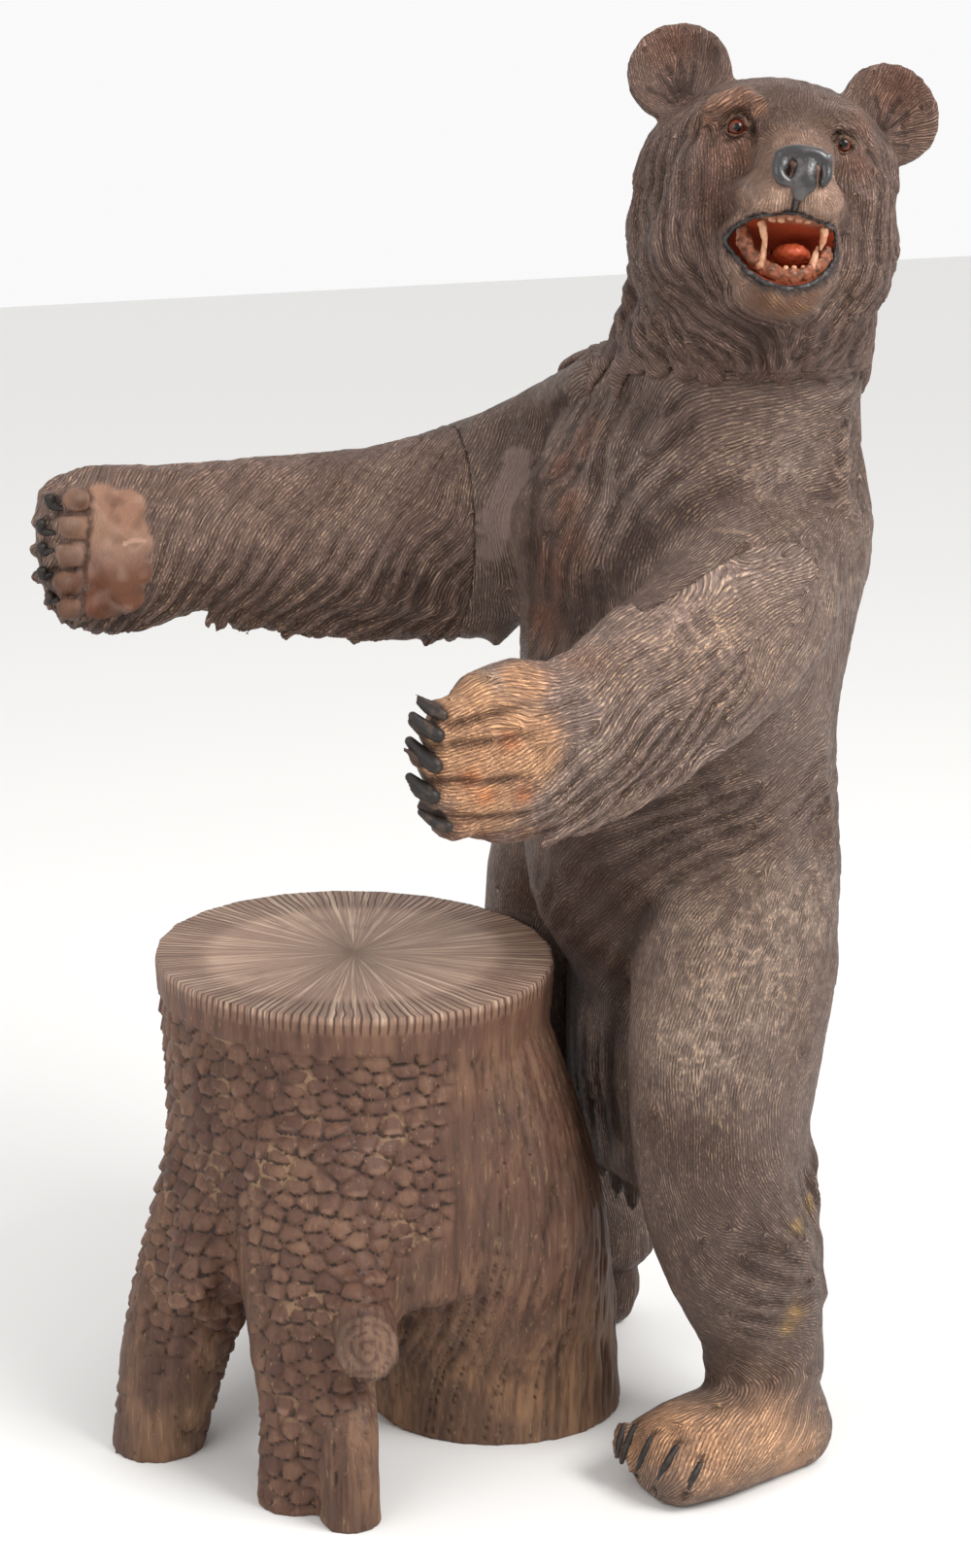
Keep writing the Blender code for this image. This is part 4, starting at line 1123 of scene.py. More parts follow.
def carve_hair(block, comb, shag, stroke, lock_width, band_width, seed):
    """Locks and gouge strokes along the comb; shag and stroke say how deep each is, from 0 to 1."""
    depth = sizes()
    hollow = block.hollow(24)
    lock_way = block.swing(comb, 22, lock_width * 4.5, seed)
    across = np.cross(block.normals, lock_way)
    lock = block.bands(across, lock_width, 60)[0]
    along = block.bands(lock_way, lock_width * 3.2, 40)[0]
    lock = lock + 0.8 * wander(block.points, lock_width * 2.8, seed + 2)
    tip = along + 1.5 * np.cos(lock) + 2.6 * wander(block.points, lock_width * 2.2, seed + 3)
    leaf = np.mod(tip, math.tau) / math.tau
    leaf = leaf**0.8 * step(leaf, 1.0, 0.90)
    ridge = np.abs(np.cos(lock / 2)) ** 0.8
    tress = np.abs(np.cos(lock + 0.9 * wander(block.points, lock_width * 1.6, seed + 4)))
    strand, even = block.bands(across, band_width, 80)
    lie = block.bands(lock_way, lock_width * 3, 30)[0]
    strand_ridge = np.sqrt(0.5 + 0.5 * np.cos(strand))
    uneven = 0.70 + 0.30 * wander(block.points, lock_width * 3, seed + 6)
    height = shag * uneven * (0.56 * ridge + 0.34 * leaf + 0.22 * tress - 0.68) * depth.lock_depth
    height += stroke * (strand_ridge - 0.6) * depth.strand_depth
    block.push(height)
    # Painted shade: cavity is low between the locks, in the strokes' grooves and in hollows, and the shader
    # darkens the colour there
    cavity = 0.85 - shag * ((1 - ridge) * 1.3 + (1 - leaf) * 0.30 + (1 - tress) * 0.40)
    cavity -= 0.10 * stroke * (1 - strand_ridge) + 0.6 * step(hollow, 0.0015, 0.0080)
    block.keep("lock", np.cos(lock))
    block.keep("shag", shag)
    block.keep("band", np.cos(strand), np.sin(strand), np.clip(cavity, 0, 1))
    block.keep("lie", np.cos(lie), np.sin(lie), step(even, 0.55, 0.9))


def packed(node):
    """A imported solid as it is, to look up pixels on."""
    block = Block(solid_mesh(node))
    block.make_tree()
    return block


def grown(node, grid, *extra):
    """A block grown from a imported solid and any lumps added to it."""
    return Block(with_modifiers(together(node, solid_mesh(node), *extra), voxels(grid)))


def whittled(mesh, grid, rough, seed):
    """A small shape with the unevenness of knife work."""
    block = Block(with_modifiers(mesh, voxels(grid)))
    block.smooth(4)
    block.push(rough * (wander(block.points, 0.012, seed) + 0.6 * wander(block.points, 0.005, seed + 1)))
    return block


class BEAR_OT_body(bpy.types.Operator):
    """Trunk and legs of the bear, carved and stained."""

    bl_idname = "bear.body"
    bl_label = "Carve the body"

    def execute(self, context):
        size = sizes()
        block = grown("bear_body", size.body_grid, self.shoulder(), self.hip())
        block.smooth(10)
        block.flat(NECK_JOINT, 0.003)
        block.flat(RIGHT_JOINT, 0.003)
        block.stand()
        hip = np.max([block.ball(place, SMOOTHED_RADIUS) for place in SMOOTHED_HIP], axis=0)
        block.smooth(60, where=hip)
        block.make_tree()
        toes = block.lines(TOE_GROOVES)
        block.push(0.0025 * block.spots(*TOES) - 0.0035 * step(toes, 0.0060, 0.0010))
        block.stand()
        comb = block.comb(BODY_FLOW, BACK_FLOW, (0, 0.05, -1))
        worn_patch = step(block.spots(*WORN_PATCH) + 0.14 * wander(block.points, 0.014, 8), 0.40, 0.62)
        stroke = 0.75 * step(block.points[:, 2], 0.002, 0.012)
        carve_hair(block, comb, self.shag(block, worn_patch), stroke, size.lock, 0.024, 11)
        self.dye(block, toes, worn_patch)
        self.wear(block, worn_patch)
        block.finished("carved_body", hair_wood("stained body hair", 7), "body_wood", "bear_body")
        return {"FINISHED"}

    def shoulder(self):
        """The fur that slopes from the neck to the right shoulder."""
        trunk = packed("bear_body")
        sunk, radius = 0.024, 0.028
        stations = []
        for u, v in SHOULDER_SLOPE:
            place = trunk.seen(u, v)[0] + Sight.ray(u, v) * sunk
            stations.append((*place, radius))
        shapes = Shapes()
        shapes.rod(stations)
        return shapes.mesh("shoulder")

    def hip(self):
        """The fur between the waist and the right thigh, seen from behind."""
        shapes = Shapes()
        shapes.rod(HIP_OUTSIDE)
        shapes.rod(HIP_INSIDE)
        return shapes.mesh("hip")

    def shag(self, block, worn_patch):
        """How deep the locks go, from 0 to 1."""
        y, z = block.points[:, 1], block.points[:, 2]
        shag = 0.14 + 0.86 * block.spots(*SHAGGY)
        shag = np.maximum(shag, 0.45 * block.spots(*RUFFLED))
        shag = np.maximum(shag, (0.42 + 0.28 * step(z, 0.98, 1.12)) * step(y, 0.20, 0.32))
        shag *= 1 - 0.7 * block.spots(*SHORT_THIGH)
        shag *= 1 - 0.8 * block.spots(*SHORT_FOOT)
        shag *= 1 - 0.9 * worn_patch
        joint_edge = np.minimum(np.abs(z - NECK_JOINT[0][2]), 0.012) / 0.012
        return shag * (0.3 + 0.7 * joint_edge) * step(z, 0.004, 0.02)

    def dye(self, block, toes, worn_patch):
        """Stain, painted shade in the folds, grooves and where the arms and legs shade the body, painted
        light on the locks between leg and stump, and the rubbed patch by the arm's joint.
        """
        paint = colours()
        z = block.points[:, 2]
        along_height = np.stack([z, z, z], axis=1)
        arm_fold = block.line(*ARM_FOLD) + 0.004 * wander(along_height, 0.03, 3)
        block.prime(paint.stain)
        # Painted shade where the arms and legs shade the body
        block.dab(tone(76, 56, 48), PAINTED_SHADE_SPOTS, 0.85)
        # Painted shade in the chest's fold
        block.wash(tone(62, 46, 42), 0.85 * step(block.line(*CHEST_FOLD), 0.030, 0.006))
        # Painted shade in the crease where the right arm meets the chest
        block.wash(tone(52, 37, 33), 0.85 * step(arm_fold, 0.016, 0.003))
        block.wash(tone(182, 154, 132), 0.6 * step(block.line(*SHOULDER_SEAM), 0.0040, 0.0015))
        block.wash(tone(136, 115, 108), 0.55 * worn_patch)
        block.dab(paint.russet, REDDISH, 0.6)
        block.dab(tone(140, 121, 108), PALE_THIGH, 0.75)
        # Painted light on the locks between the leg and the stump
        block.dab(tone(206, 172, 154), PAINTED_LIGHT_LOCKS, 0.95)
        block.dab(tone(66, 46, 39), DARK_BELLY, 0.9)
        # Painted shade in the fold between the belly and the thigh
        block.wash(tone(54, 41, 36), 0.75 * step(block.line(*THIGH_FOLD), 0.020, 0.004))
        block.dab(tone(84, 68, 60), DARK_SHIN, 0.7)
        block.dab(paint.tan, FOOT_TOP, 0.85)
        block.dab(tone(74, 54, 48), DARK_ANKLE, 0.7)
        # Painted shade in the grooves between the toes
        block.wash(tone(70, 48, 38), 0.8 * step(toes, 0.0065, 0.0030))
        block.dab(tone(196, 156, 96), OCHRE_HEEL, 0.8)

    def wear(self, block, worn_patch):
        """Where ridges are rubbed to bare wood, where strokes are short ticks, and where wood is plain."""
        wear = 0.24 + 0.14 * block.spots(*RUBBED)
        wear *= 1 - 0.8 * block.spots(*SHELTERED)
        ticks = np.maximum(block.spots(*TICKED), 0.3 * step(block.points[:, 1], 0.32, 0.38))
        block.keep("finish", wear, ticks, 0.7 * worn_patch)


class BEAR_OT_arms(bpy.types.Operator):
    """Both forearms with their paws."""

    bl_idname = "bear.arms"
    bl_label = "Carve the arms"

    def execute(self, context):
        self.right()
        self.left()
        return {"FINISHED"}

    def fringe(self):
        """Pointed locks that hang from the right arm's lower edge."""
        rng = np.random.default_rng(3)
        shapes = Shapes(sides=10)
        elbow, wrist = Vector((-0.140, 0.060, 0.884)), Vector((-0.224, -0.215, 0.912))
        hang, width, count = Vector((0.002, -0.014, -0.024)), 0.0085, 26
        for k in range(count):
            root = elbow.lerp(wrist, (k + 0.5) / count)
            tip = root + hang * float(rng.uniform(0.55, 1.1))
            middle = root.lerp(tip, 0.5)
            stations = [(*(root - hang * 0.6), width), (*middle, width * 0.7), (*tip, width * 0.15)]
            shapes.rod(stations, side=(0.9, 0.4, 0), steps=3)
        return shapes.mesh("fringe")

    def pads(self):
        """The round pads of the open right paw."""
        shapes = Shapes(sides=24)
        for k, (u, v, reach) in enumerate(PAD_LUMPS):
            bow = abs(k - 2)
            like = Vector((-0.240 + 0.002 * bow, -0.366 + 0.003 * bow, 0.98))
            shapes.ball(Sight.at_depth(u, v, like), (0.010, reach * 1.06, reach * 0.95))
        return shapes.mesh("pads")

    def tufts(self):
        """Pointed locks under the left forearm, and the tips of the fingers."""
        arm = packed("left_arm")
        rng = np.random.default_rng(5)
        shapes = Shapes(sides=10)
        count = 15
        for k in range(count):
            t = (k + 0.5) / count * (len(FOREARM_EDGE) - 1)
            first, second = FOREARM_EDGE[int(t)], FOREARM_EDGE[int(t) + 1]
            u, v = (a + (b - a) * (t % 1) for a, b in zip(first, second))
            root = arm.seen(u + 16, v - 20)[0]
            long = float(rng.uniform(0.75, 1.25))
            middle = Sight.at_depth(u - 4 * long, v - 1, root)
            tip = Sight.at_depth(u - 20 * long, v + 17 * long, root)
            shapes.rod([(*root, 0.010, 0.008), (*middle, 0.0085, 0.007), (*tip, 0.0014)], steps=3)
        for u, v, radius in FINGER_TIPS:
            start = arm.seen(u + 28, v - 2)[0] + Sight.ray(u, v) * 0.011
            shapes.rod([(*start, radius), (*Sight.at_depth(u, v, start), radius * 0.9)], steps=3)
        return shapes.mesh("tufts")

    def right(self):
        size = sizes()
        block = grown("right_arm", size.arm_grid, self.pads(), self.fringe())
        block.smooth(7)
        block.flat(RIGHT_JOINT, 0.0025, out=-0.001)
        block.find_normals()
        block.make_tree()
        ends, rounds = block.spots(*FINGER_ENDS), block.spots(*PAD_ROUNDS)
        gaps = block.lines(PAD_GAPS)
        block.push(0.0050 * rounds + 0.0020 * ends - 0.0038 * step(gaps, 0.0050, 0.0010))
        comb = block.comb(RIGHT_ARM_FLOW, FAR_RIGHT_ARM_FLOW, (-0.1, -1, -0.4))
        palm = step(block.spots(*PALM), 0.32, 0.55)
        free = 1 - palm
        joint = np.array(RIGHT_JOINT[1]) / np.linalg.norm(RIGHT_JOINT[1])
        from_joint = (block.points - np.array(RIGHT_JOINT[0])) @ joint
        shag = (0.40 + 0.60 * step(block.points[:, 2], 1.00, 0.93)) * free * step(from_joint, 0.0, 0.012)
        stroke = free * step(from_joint, 0.0, 0.006)
        carve_hair(block, comb, shag, stroke, size.lock * 0.85, 0.0145, 31)
        z = block.points[:, 2]
        block.prime(tone(134, 111, 101))
        block.wash(tone(38, 28, 24), 0.8 * step(from_joint, 0.0030, 0.0010))
        # Painted shade on the lower side of the arm
        block.wash(tone(112, 90, 80), 0.8 * step(z, 0.965, 0.90))
        # Painted shade under the forearm
        block.dab(tone(60, 44, 38), SHADE_UNDER_ARM, 0.6)
        block.wash(tone(146, 110, 90), palm * step(z, 0.94, 1.02))
        block.wash(tone(104, 66, 48), palm * step(z, 1.00, 0.95))
        block.dab(tone(104, 80, 64), PAD_TONE, palm * 0.7)
        block.wash(tone(176, 150, 136), palm * 0.25 * step(wander(block.points, 0.030, 13), -0.1, 0.9))
        block.wash(tone(74, 50, 39), palm * 0.35 * step(wander(block.points, 0.024, 14), 0.1, 1.0))
        block.wash(tone(150, 120, 96), palm * block.spot(*PALM_LIGHT) * 0.5)
        block.wash(tone(92, 68, 54), 0.6 * palm * rounds)
        # Painted shade in the gaps between the pads and along the palm's crease
        ragged_gaps = gaps + 0.001 * wander(block.points, 0.01, 15)
        block.wash(tone(50, 33, 26), 0.80 * palm * step(ragged_gaps, 0.0040, 0.0006))
        block.wash(tone(42, 34, 30), 0.85 * step(ends, 0.3, 0.6))
        block.wash(tone(196, 160, 140), 0.55 * palm * step(block.line(*PALM_SCRATCH), 0.003, 0.001))
        block.keep("finish", 0.35 * free, 0.15 * free, palm)
        block.finished("carved_right_arm", hair_wood("stained arm hair", 4), "arm_wood", "right_arm")

    def left(self):
        paint, size = colours(), sizes()
        block = grown("left_arm", size.arm_grid, self.tufts())
        block.smooth(7)
        block.make_tree()
        comb = block.comb(LEFT_ARM_FLOW, FAR_LEFT_ARM_FLOW, (0.1, -1, -0.5))
        paw = block.spots(*PAW)
        groove = step(block.lines(PAW_GROOVES), 0.0075, 0.001) * step(block.points[:, 1], -0.10, -0.16)
        block.push(-0.0035 * groove)
        shag = 0.35 + 0.65 * block.spots(*LEFT_SHAGGY)
        shag *= 1 - 0.55 * step(paw, 0.4, 0.9)
        carve_hair(block, comb, shag, 1.0, size.lock * 0.8, 0.0145, 51)
        block.prime(tone(147, 126, 116))
        block.wash(paint.tan, step(paw, 0.25, 0.8) * 0.95)
        block.dab(tone(208, 122, 70), PAW_ORANGE, 0.8)
        block.dab(tone(120, 78, 56), PAW_SHADE, 0.7)
        # Painted shade in the grooves between the fingers
        block.wash(tone(84, 54, 40), groove * 0.75)
        nails = self.nails(block)
        block.wash(paint.black, nails * 0.9)
        block.dab(tone(168, 128, 108), PALE_WRIST, 0.6)
        wear = 0.45 + 0.35 * block.spots(*LEFT_RUBBED)
        block.keep("finish", wear * (1 - nails), block.spots(*LEFT_TICKED), 0.7 * nails)
        block.finished("carved_left_arm", hair_wood("rubbed paw hair", 4), "arm_wood", "left_arm")

    def nails(self, block):
        """Where the paint of the left paw's claws has run onto the fingers."""
        nearest = np.full(len(block.points), 1.0)
        for root, *rest in CLAWS["left"]:
            like = block.seen(*root)[0]
            nearest = np.minimum(nearest, block.from_line([Sight.at_depth(u, v, like) for u, v in rest]))
        return step(nearest, 0.017, 0.011)


class BEAR_OT_head(bpy.types.Operator):
    """Head with ears, muzzle and open mouth."""

    bl_idname = "bear.head"
    bl_label = "Carve the head"

    def execute(self, context):
        size = sizes()
        plug = Shapes()
        plug.ball((-0.003, -0.112, -0.088), (0.050, 0.050, 0.042), HEAD)
        closed = grown("bear_head", size.head_grid, plug.mesh("plug"), self.neck_locks())
        closed.smooth(6)
        closed.make_tree()
        closed.write()
        rim = [closed.seen(u, v)[0] for u, v in (*UPPER_LIP, *LOWER_LIP)]
        block = Block(with_modifiers(self.opened(closed.mesh, rim), voxels(size.head_grid)))
        block.smooth(4)
        block.flat(NECK_JOINT, 0.0025, out=0.0005)
        block.find_normals()
        block.make_tree()
        self.carve(block, rim)
        self.lips(rim)
        return {"FINISHED"}

    def neck_locks(self):
        """Locks of the head that hang over its joint with the trunk."""
        rng = np.random.default_rng(12)
        head, trunk = packed("bear_head"), packed("bear_body")
        joint = NECK_JOINT[0][2]
        neck_middle = head.points[head.points[:, 2] < joint + 0.001].mean(axis=0)
        shapes = Shapes(sides=12)
        count = 30
        for k in range(count):
            angle = math.tau * (k + float(rng.uniform(-0.2, 0.2))) / count
            towards_view = math.cos(angle - math.radians(-28))
            towards_arm = max(0.0, math.cos(angle - math.radians(-125)))
            short = towards_view > 0.45
            hang = float(rng.uniform(0.003, 0.010) if short else rng.uniform(0.014, 0.040))
            bulge = 0.001 + 0.002 * towards_arm**2
            stations = []
            for rise, tree, more, width in (
                (0.045, head.tree, -0.004, 0.013),
                (0.006, head.tree, bulge, 0.017),
                (-hang * 0.5 - 0.001, trunk.tree, bulge + 0.001, 0.014),
                (-hang - 0.002, trunk.tree, -0.001, 0.006),
            ):
                way = Vector((math.cos(angle), math.sin(angle), 0))
                middle = Vector((neck_middle[0], neck_middle[1], joint + rise))
                hit = tree.ray_cast(middle, way)[0]
                reach = (hit - middle).length if hit is not None else 0.12
                stations.append((*(middle + way * (reach + more)), width, min(width * 0.55, 0.0065)))
                angle += 0.05 * towards_view
            shapes.rod(stations, side=(-math.sin(angle), math.cos(angle), 0))
        return shapes.mesh("neck locks")

    def opened(self, mesh, rim):
        """The head with the mouth hollowed out behind its lips."""
        hollow = Shapes()
        hollow.skin(self.throat(rim, HOLLOW_STEPS))
        tool = bpy.data.objects.new("mouth hollow", hollow.mesh("mouth hollow"))
        bpy.context.scene.collection.objects.link(tool)
        cut = ("BOOLEAN", {"object": tool, "operation": "DIFFERENCE", "solver": "EXACT"})
        made = with_modifiers(mesh, cut)
        bpy.data.objects.remove(tool)
        return made

    def throat(self, rim, steps):
        """Rings that go from the lips into the head."""
        centre = sum(rim, Vector()) / len(rim)
        inward = (HEAD_CENTRE + HEAD_TURN.to_3x3() @ Vector((0, 0.03, -0.075)) - centre).normalized()
        return [[centre + (p - centre) * shrink + inward * depth for p in rim] for depth, shrink in steps]

    def carve(self, block, rim):
        """Face, hair and stain of the head."""
        x, y, z = ((block.points - np.array(HEAD_CENTRE)) @ np.array(HEAD_TURN.to_3x3())).T
        self.shape_face(block, y)
        comb = block.comb(HEAD_FLOW, BACK_OF_HEAD_FLOW, (0, 0, -1), reach=0.03)
        face = np.exp(-(((x + 0.002) / 0.075) ** 2 + ((z + 0.005) / 0.075) ** 2 + ((y + 0.15) / 0.09) ** 2))
        muzzle = step(y, -0.120, -0.160)
        pads = block.spots(*PALE_PADS) * 0.9 * step(z, -0.066, -0.058)
        shag = np.clip(0.78 - 1.1 * face, 0.08, 1) * step(z, 0.085, 0.03)
        shag = np.maximum(shag, 0.10) * (1 - muzzle)
        shag *= 0.3 + 0.7 * np.clip((block.points[:, 2] - NECK_JOINT[0][2]) / 0.012, 0, 1)
        stroke = (1 - 0.5 * muzzle) * 0.9
        carve_hair(block, comb, shag, stroke, sizes().lock * 0.72, 0.015, 71)
        self.dye(block, muzzle, pads)
        self.dye_mouth(block, face, rim)
        wear = 0.10 + 0.25 * block.spots(*HEAD_RUBBED)
        block.keep("finish", wear, 0.6 * face, 0.20 * muzzle)
        block.finished("carved_head", hair_wood("stained head hair", 5), "head_wood", "bear_head")

    def shape_face(self, block, y):
        """Upper-lip pads, the bed of the nose, brows and eye sockets."""
        push = -0.0125 * step(block.spots(*NOSE_BED), 0.40, 0.85)
        push += 0.0060 * block.spots(*CHIN)
        push += 0.0050 * block.spots(*LIP_PADS) - 0.0055 * step(block.line(*LIP_CLEFT), 0.0045, 0.0010)
        push += 0.0075 * block.spots(*BROWS)
        right_fold = step(block.line(*RIGHT_LID_FOLD), 0.0055, 0.0010)
        left_fold = step(block.line(*LEFT_LID_FOLD), 0.0050, 0.0010)
        push -= 0.0055 * np.maximum(right_fold, left_fold)
        push += 0.0030 * block.spots(*UNDER_EYES)
        push -= 0.0045 * block.spots(*MUZZLE_HOLLOWS)
        block.push(push * step(y, -0.05, -0.08))

    def dye(self, block, muzzle, pads):
        """Stain of the hair, brows, muzzle, chin and ears, a painted highlight on the brow ridge, and
        painted shade at the ears' roots and in their folds.
        """
        paint = colours()
        block.prime(tone(122, 99, 89))
        block.dab(tone(100, 60, 46), RED_CHEEKS, 0.6)
        block.dab(tone(84, 60, 45), FOREHEAD, 0.95)
        # Painted highlight on the brow ridge
        block.dab(tone(166, 126, 102), BROW_HIGHLIGHT, 0.85)
        block.dab(tone(138, 94, 70), EYE_CORNERS, 0.50)
        # Painted shade at the roots of the ears and under the jaw
        block.dab(tone(66, 50, 44), EAR_ROOTS, 0.7)
        block.dab(paint.russet, RUSSET_FACE, 0.45)
        block.wash(tone(152, 121, 102), muzzle * 0.85)
        block.dab(tone(164, 142, 134), GREY_MUZZLE, 0.6)
        block.dab(tone(80, 54, 42), BROWN_MUZZLE, 0.7)
        block.wash(tone(204, 170, 148), pads)
        block.dab(tone(98, 62, 38), BROWN_CHIN, 0.85)
        block.dab(tone(160, 120, 70), OCHRE_CHIN, 0.5)
        # Painted shade of the ears' grooves, laid as dark lines
        ragged_folds = block.lines(EAR_FOLDS) + 0.001 * wander(block.points, 0.008, 10)
        block.wash(tone(44, 32, 28), 0.75 * step(ragged_folds, 0.0050, 0.0008))

    def dye_mouth(self, block, face, rim):
        """Mottles of the face, the dark edge round the mouth, and painted shade in the nostrils and round
        the eyes.
        """
        ragged = 0.0022 * wander(block.points, 0.006, 9)
        block.wash(tone(84, 58, 46), step(wander(block.points, 0.016, 5), 0.1, 0.8) * face * 0.45)
        block.wash(tone(158, 132, 116), step(wander(block.points, 0.011, 6), 0.25, 0.9) * face * 0.35)
        mouth_edge = block.from_line([*rim, rim[0]])
        chin_edge = block.from_line(rim[CHIN_PART_OF_RIM])
        block.wash(tone(52, 46, 45), step(chin_edge + ragged, 0.0105, 0.006) * 0.85)
        block.wash(tone(36, 31, 30), step(mouth_edge + ragged, 0.0060, 0.003))
        block.dab(tone(58, 38, 32), NOSTRIL_SHADE)
        block.dab(tone(88, 62, 50), SOCKET_SHADE, 0.7)

    def lips(self, rim):
        """The painted lips, a rolled edge round the mouth, and the lining behind them."""
        lip = Shapes(sides=14)
        stations = [(*p, r, r * 0.85) for p, r in zip(rim, (*UPPER_LIP_RADII, *LOWER_LIP_RADII))]
        lip.rod([*stations, stations[0]], side=Sight.forward, steps=5)
        mat = Recipe("black lip paint")
        rubbed = mat.noise(90, 3).ramp(0.5, 0.75)
        colour = mat.mix(rubbed * 0.5, tuple(colours().black), tone(110, 104, 100))
        material = mat.made(colour, 0.45 + mat.noise(200) * 0.1, mat.noise(260), 0.0004)
        whittled(lip.mesh("lips"), 0.0012, 0.0010, 21).finished("lips", material, "head_wood")
        lining = Shapes()
        lining.skin(self.throat(rim, LINING_STEPS), closed=False)
        piece("mouth_lining", lining.mesh("lining"), self.flesh(), "head_wood")

    def flesh(self):
        """Painted inside of the mouth: dark red, and brown near the lips."""
        mat = Recipe("mouth paint")
        mottle = mat.noise(140, 3)
        ahead = HEAD_TURN.to_3x3() @ Vector((0, -1, 0))
        offset = mat.vector_math("SUBTRACT", mat.place(), tuple(HEAD_CENTRE))
        reach = mat.vector_math("DOT_PRODUCT", offset, tuple(ahead), output="Value")
        near = (reach + mottle * 0.02).ramp(0.165, 0.180)
        colour = mat.mix(near, tuple(colours().palate), tone(136, 96, 76))
        colour = mat.mix(mottle.ramp(0.55, 0.75) * 0.4, colour, tone(84, 38, 26))
        return mat.made(colour, 0.4, mottle, 0.001, coat=0.2)


class BEAR_OT_mouth(bpy.types.Operator):
    """Tongue, gums and teeth."""

    bl_idname = "bear.mouth"
    bl_label = "Make tongue and teeth"

    def execute(self, context):
        self.tongue()
        self.gums()
        self.teeth()
        return {"FINISHED"}

    def tongue(self):
        shapes = Shapes(sides=24)
        centre = HEAD.inverted() @ on_face(*TONGUE)
        shapes.ball(centre, (0.0185, 0.034, 0.0105), HEAD)
        mat = Recipe("tongue paint")
        mottle = mat.noise(180, 3)
        colour = mat.mix(mottle.ramp(0.45, 0.7) * 0.4, tuple(colours().tongue), tone(214, 112, 76))
        material = mat.made(colour, 0.42, mottle, 0.0009)
        whittled(shapes.mesh("tongue"), 0.0014, 0.0007, 31).finished("tongue", material, "head_wood")

    def gums(self):
        shapes = Shapes(sides=14)
        shapes.rod([(*on_face(u, v, y + 0.003), 0.0082, 0.0044) for u, v, y in LOWER_GUM], steps=5)
        shapes.rod([(*on_face(u, v, y), 0.0085, 0.0040) for u, v, y in CHEEK], steps=5)
        mat = Recipe("gum paint")
        mottle = mat.noise(160, 3)
        colour = mat.mix(mottle.ramp(0.38, 0.62) * 0.8, tuple(colours().gum), tone(78, 50, 38))
        material = mat.made(colour, 0.42, mottle, 0.0009, Specular_IOR_Level=0.3)
        whittled(shapes.mesh("gums"), 0.0013, 0.0011, 41).finished("gums", material, "head_wood")

    def teeth(self):
        """Four fangs, and a row of small teeth above and below."""
        shapes = Shapes(sides=12)
        for fang in FANGS:
            stations = [(*on_face(u, v, y), r) for (u, v, y), r in zip(fang, (0.0044, 0.0034, 0.0012))]
            shapes.rod(stations)
        for k in range(6):
            u = 795 + 9.3 * k
            top = 222 + 0.36 * (k - 1.5) ** 2
            y = -0.172 + 0.0009 * (k - 2.2) ** 2
            long = 4 + 1.5 * math.sin(k * 2.3)
            ends = [(*on_face(u, top, y), 0.0036), (*on_face(u, top + long, y), 0.0037)]
            shapes.rod(ends, steps=2, cap=0.6)
        for k in range(4):
            u = 800 + 9 * k
            y = -0.155 + 0.0010 * (k - 1.5) ** 2
            shapes.rod([(*on_face(u, 280, y), 0.0030), (*on_face(u, 275, y), 0.0026)], steps=2, cap=0.6)
        mat = Recipe("tooth paint")
        worn = mat.noise(120, 3)
        colour = mat.mix(worn.ramp(0.38, 0.62) * 0.75, tuple(colours().tooth), tone(160, 96, 66))
        material = mat.made(colour, 0.38, worn, 0.0006)
        whittled(shapes.mesh("teeth"), 0.0008, 0.0005, 51).finished("teeth", material, "head_wood")


class BEAR_OT_nose(bpy.types.Operator):
    """Nose pad and eyelids."""

    bl_idname = "bear.nose"
    bl_label = "Make the nose and eyelids"

    def execute(self, context):
        self.nose()
        self.lids()
        return {"FINISHED"}

    def nose(self):
        across, _, up = HEAD_TURN.to_3x3().col
        shapes = Shapes(sides=16)
        for rod, side in (
            (NOSE_TOP, up),
            (RIGHT_WING, across),
            (LEFT_WING, across),
            (NOSE_BRIDGE, across),
            (NOSE_FOOT, across),
        ):
            shapes.rod([(*on_face(u, v, y), *radii) for u, v, y, *radii in rod], side=side, steps=6)
        block = Block(with_modifiers(shapes.mesh("nose"), voxels(0.0011)))
        block.smooth(8)
        mat = Recipe("slate nose paint")
        worn = mat.noise(70, 3)
        colour = mat.mix(worn.ramp(0.45, 0.7) * 0.5, tuple(colours().slate), tone(92, 85, 85))
        material = mat.made(colour, 0.30, mat.noise(300, 2), 0.0003, Specular_IOR_Level=0.60)
        block.finished("nose", material, "head_wood")

    def lids(self):
        drawn_in = 0.88
        shapes = Shapes(sides=12)
        for (eye_u, eye_v), lid, radius in LIDS:
            drawn = [(eye_u + (u - eye_u) * drawn_in, eye_v + (v - eye_v) * drawn_in, y) for u, v, y in lid]
            shapes.rod([(*on_face(*station), radius) for station in drawn], steps=5)
        block = Block(with_modifiers(shapes.mesh("lids"), voxels(0.0010)))
        block.smooth(5)
        mat = Recipe("eyelid stain")
        mottle = mat.noise(220, 3)
        colour = mat.mix(mottle.ramp(0.4, 0.65), tone(50, 35, 28), tone(92, 66, 51))
        material = mat.made(colour, 0.6, mottle, 0.0008, Specular_IOR_Level=0.2)
        block.finished("eyelids", material, "head_wood")


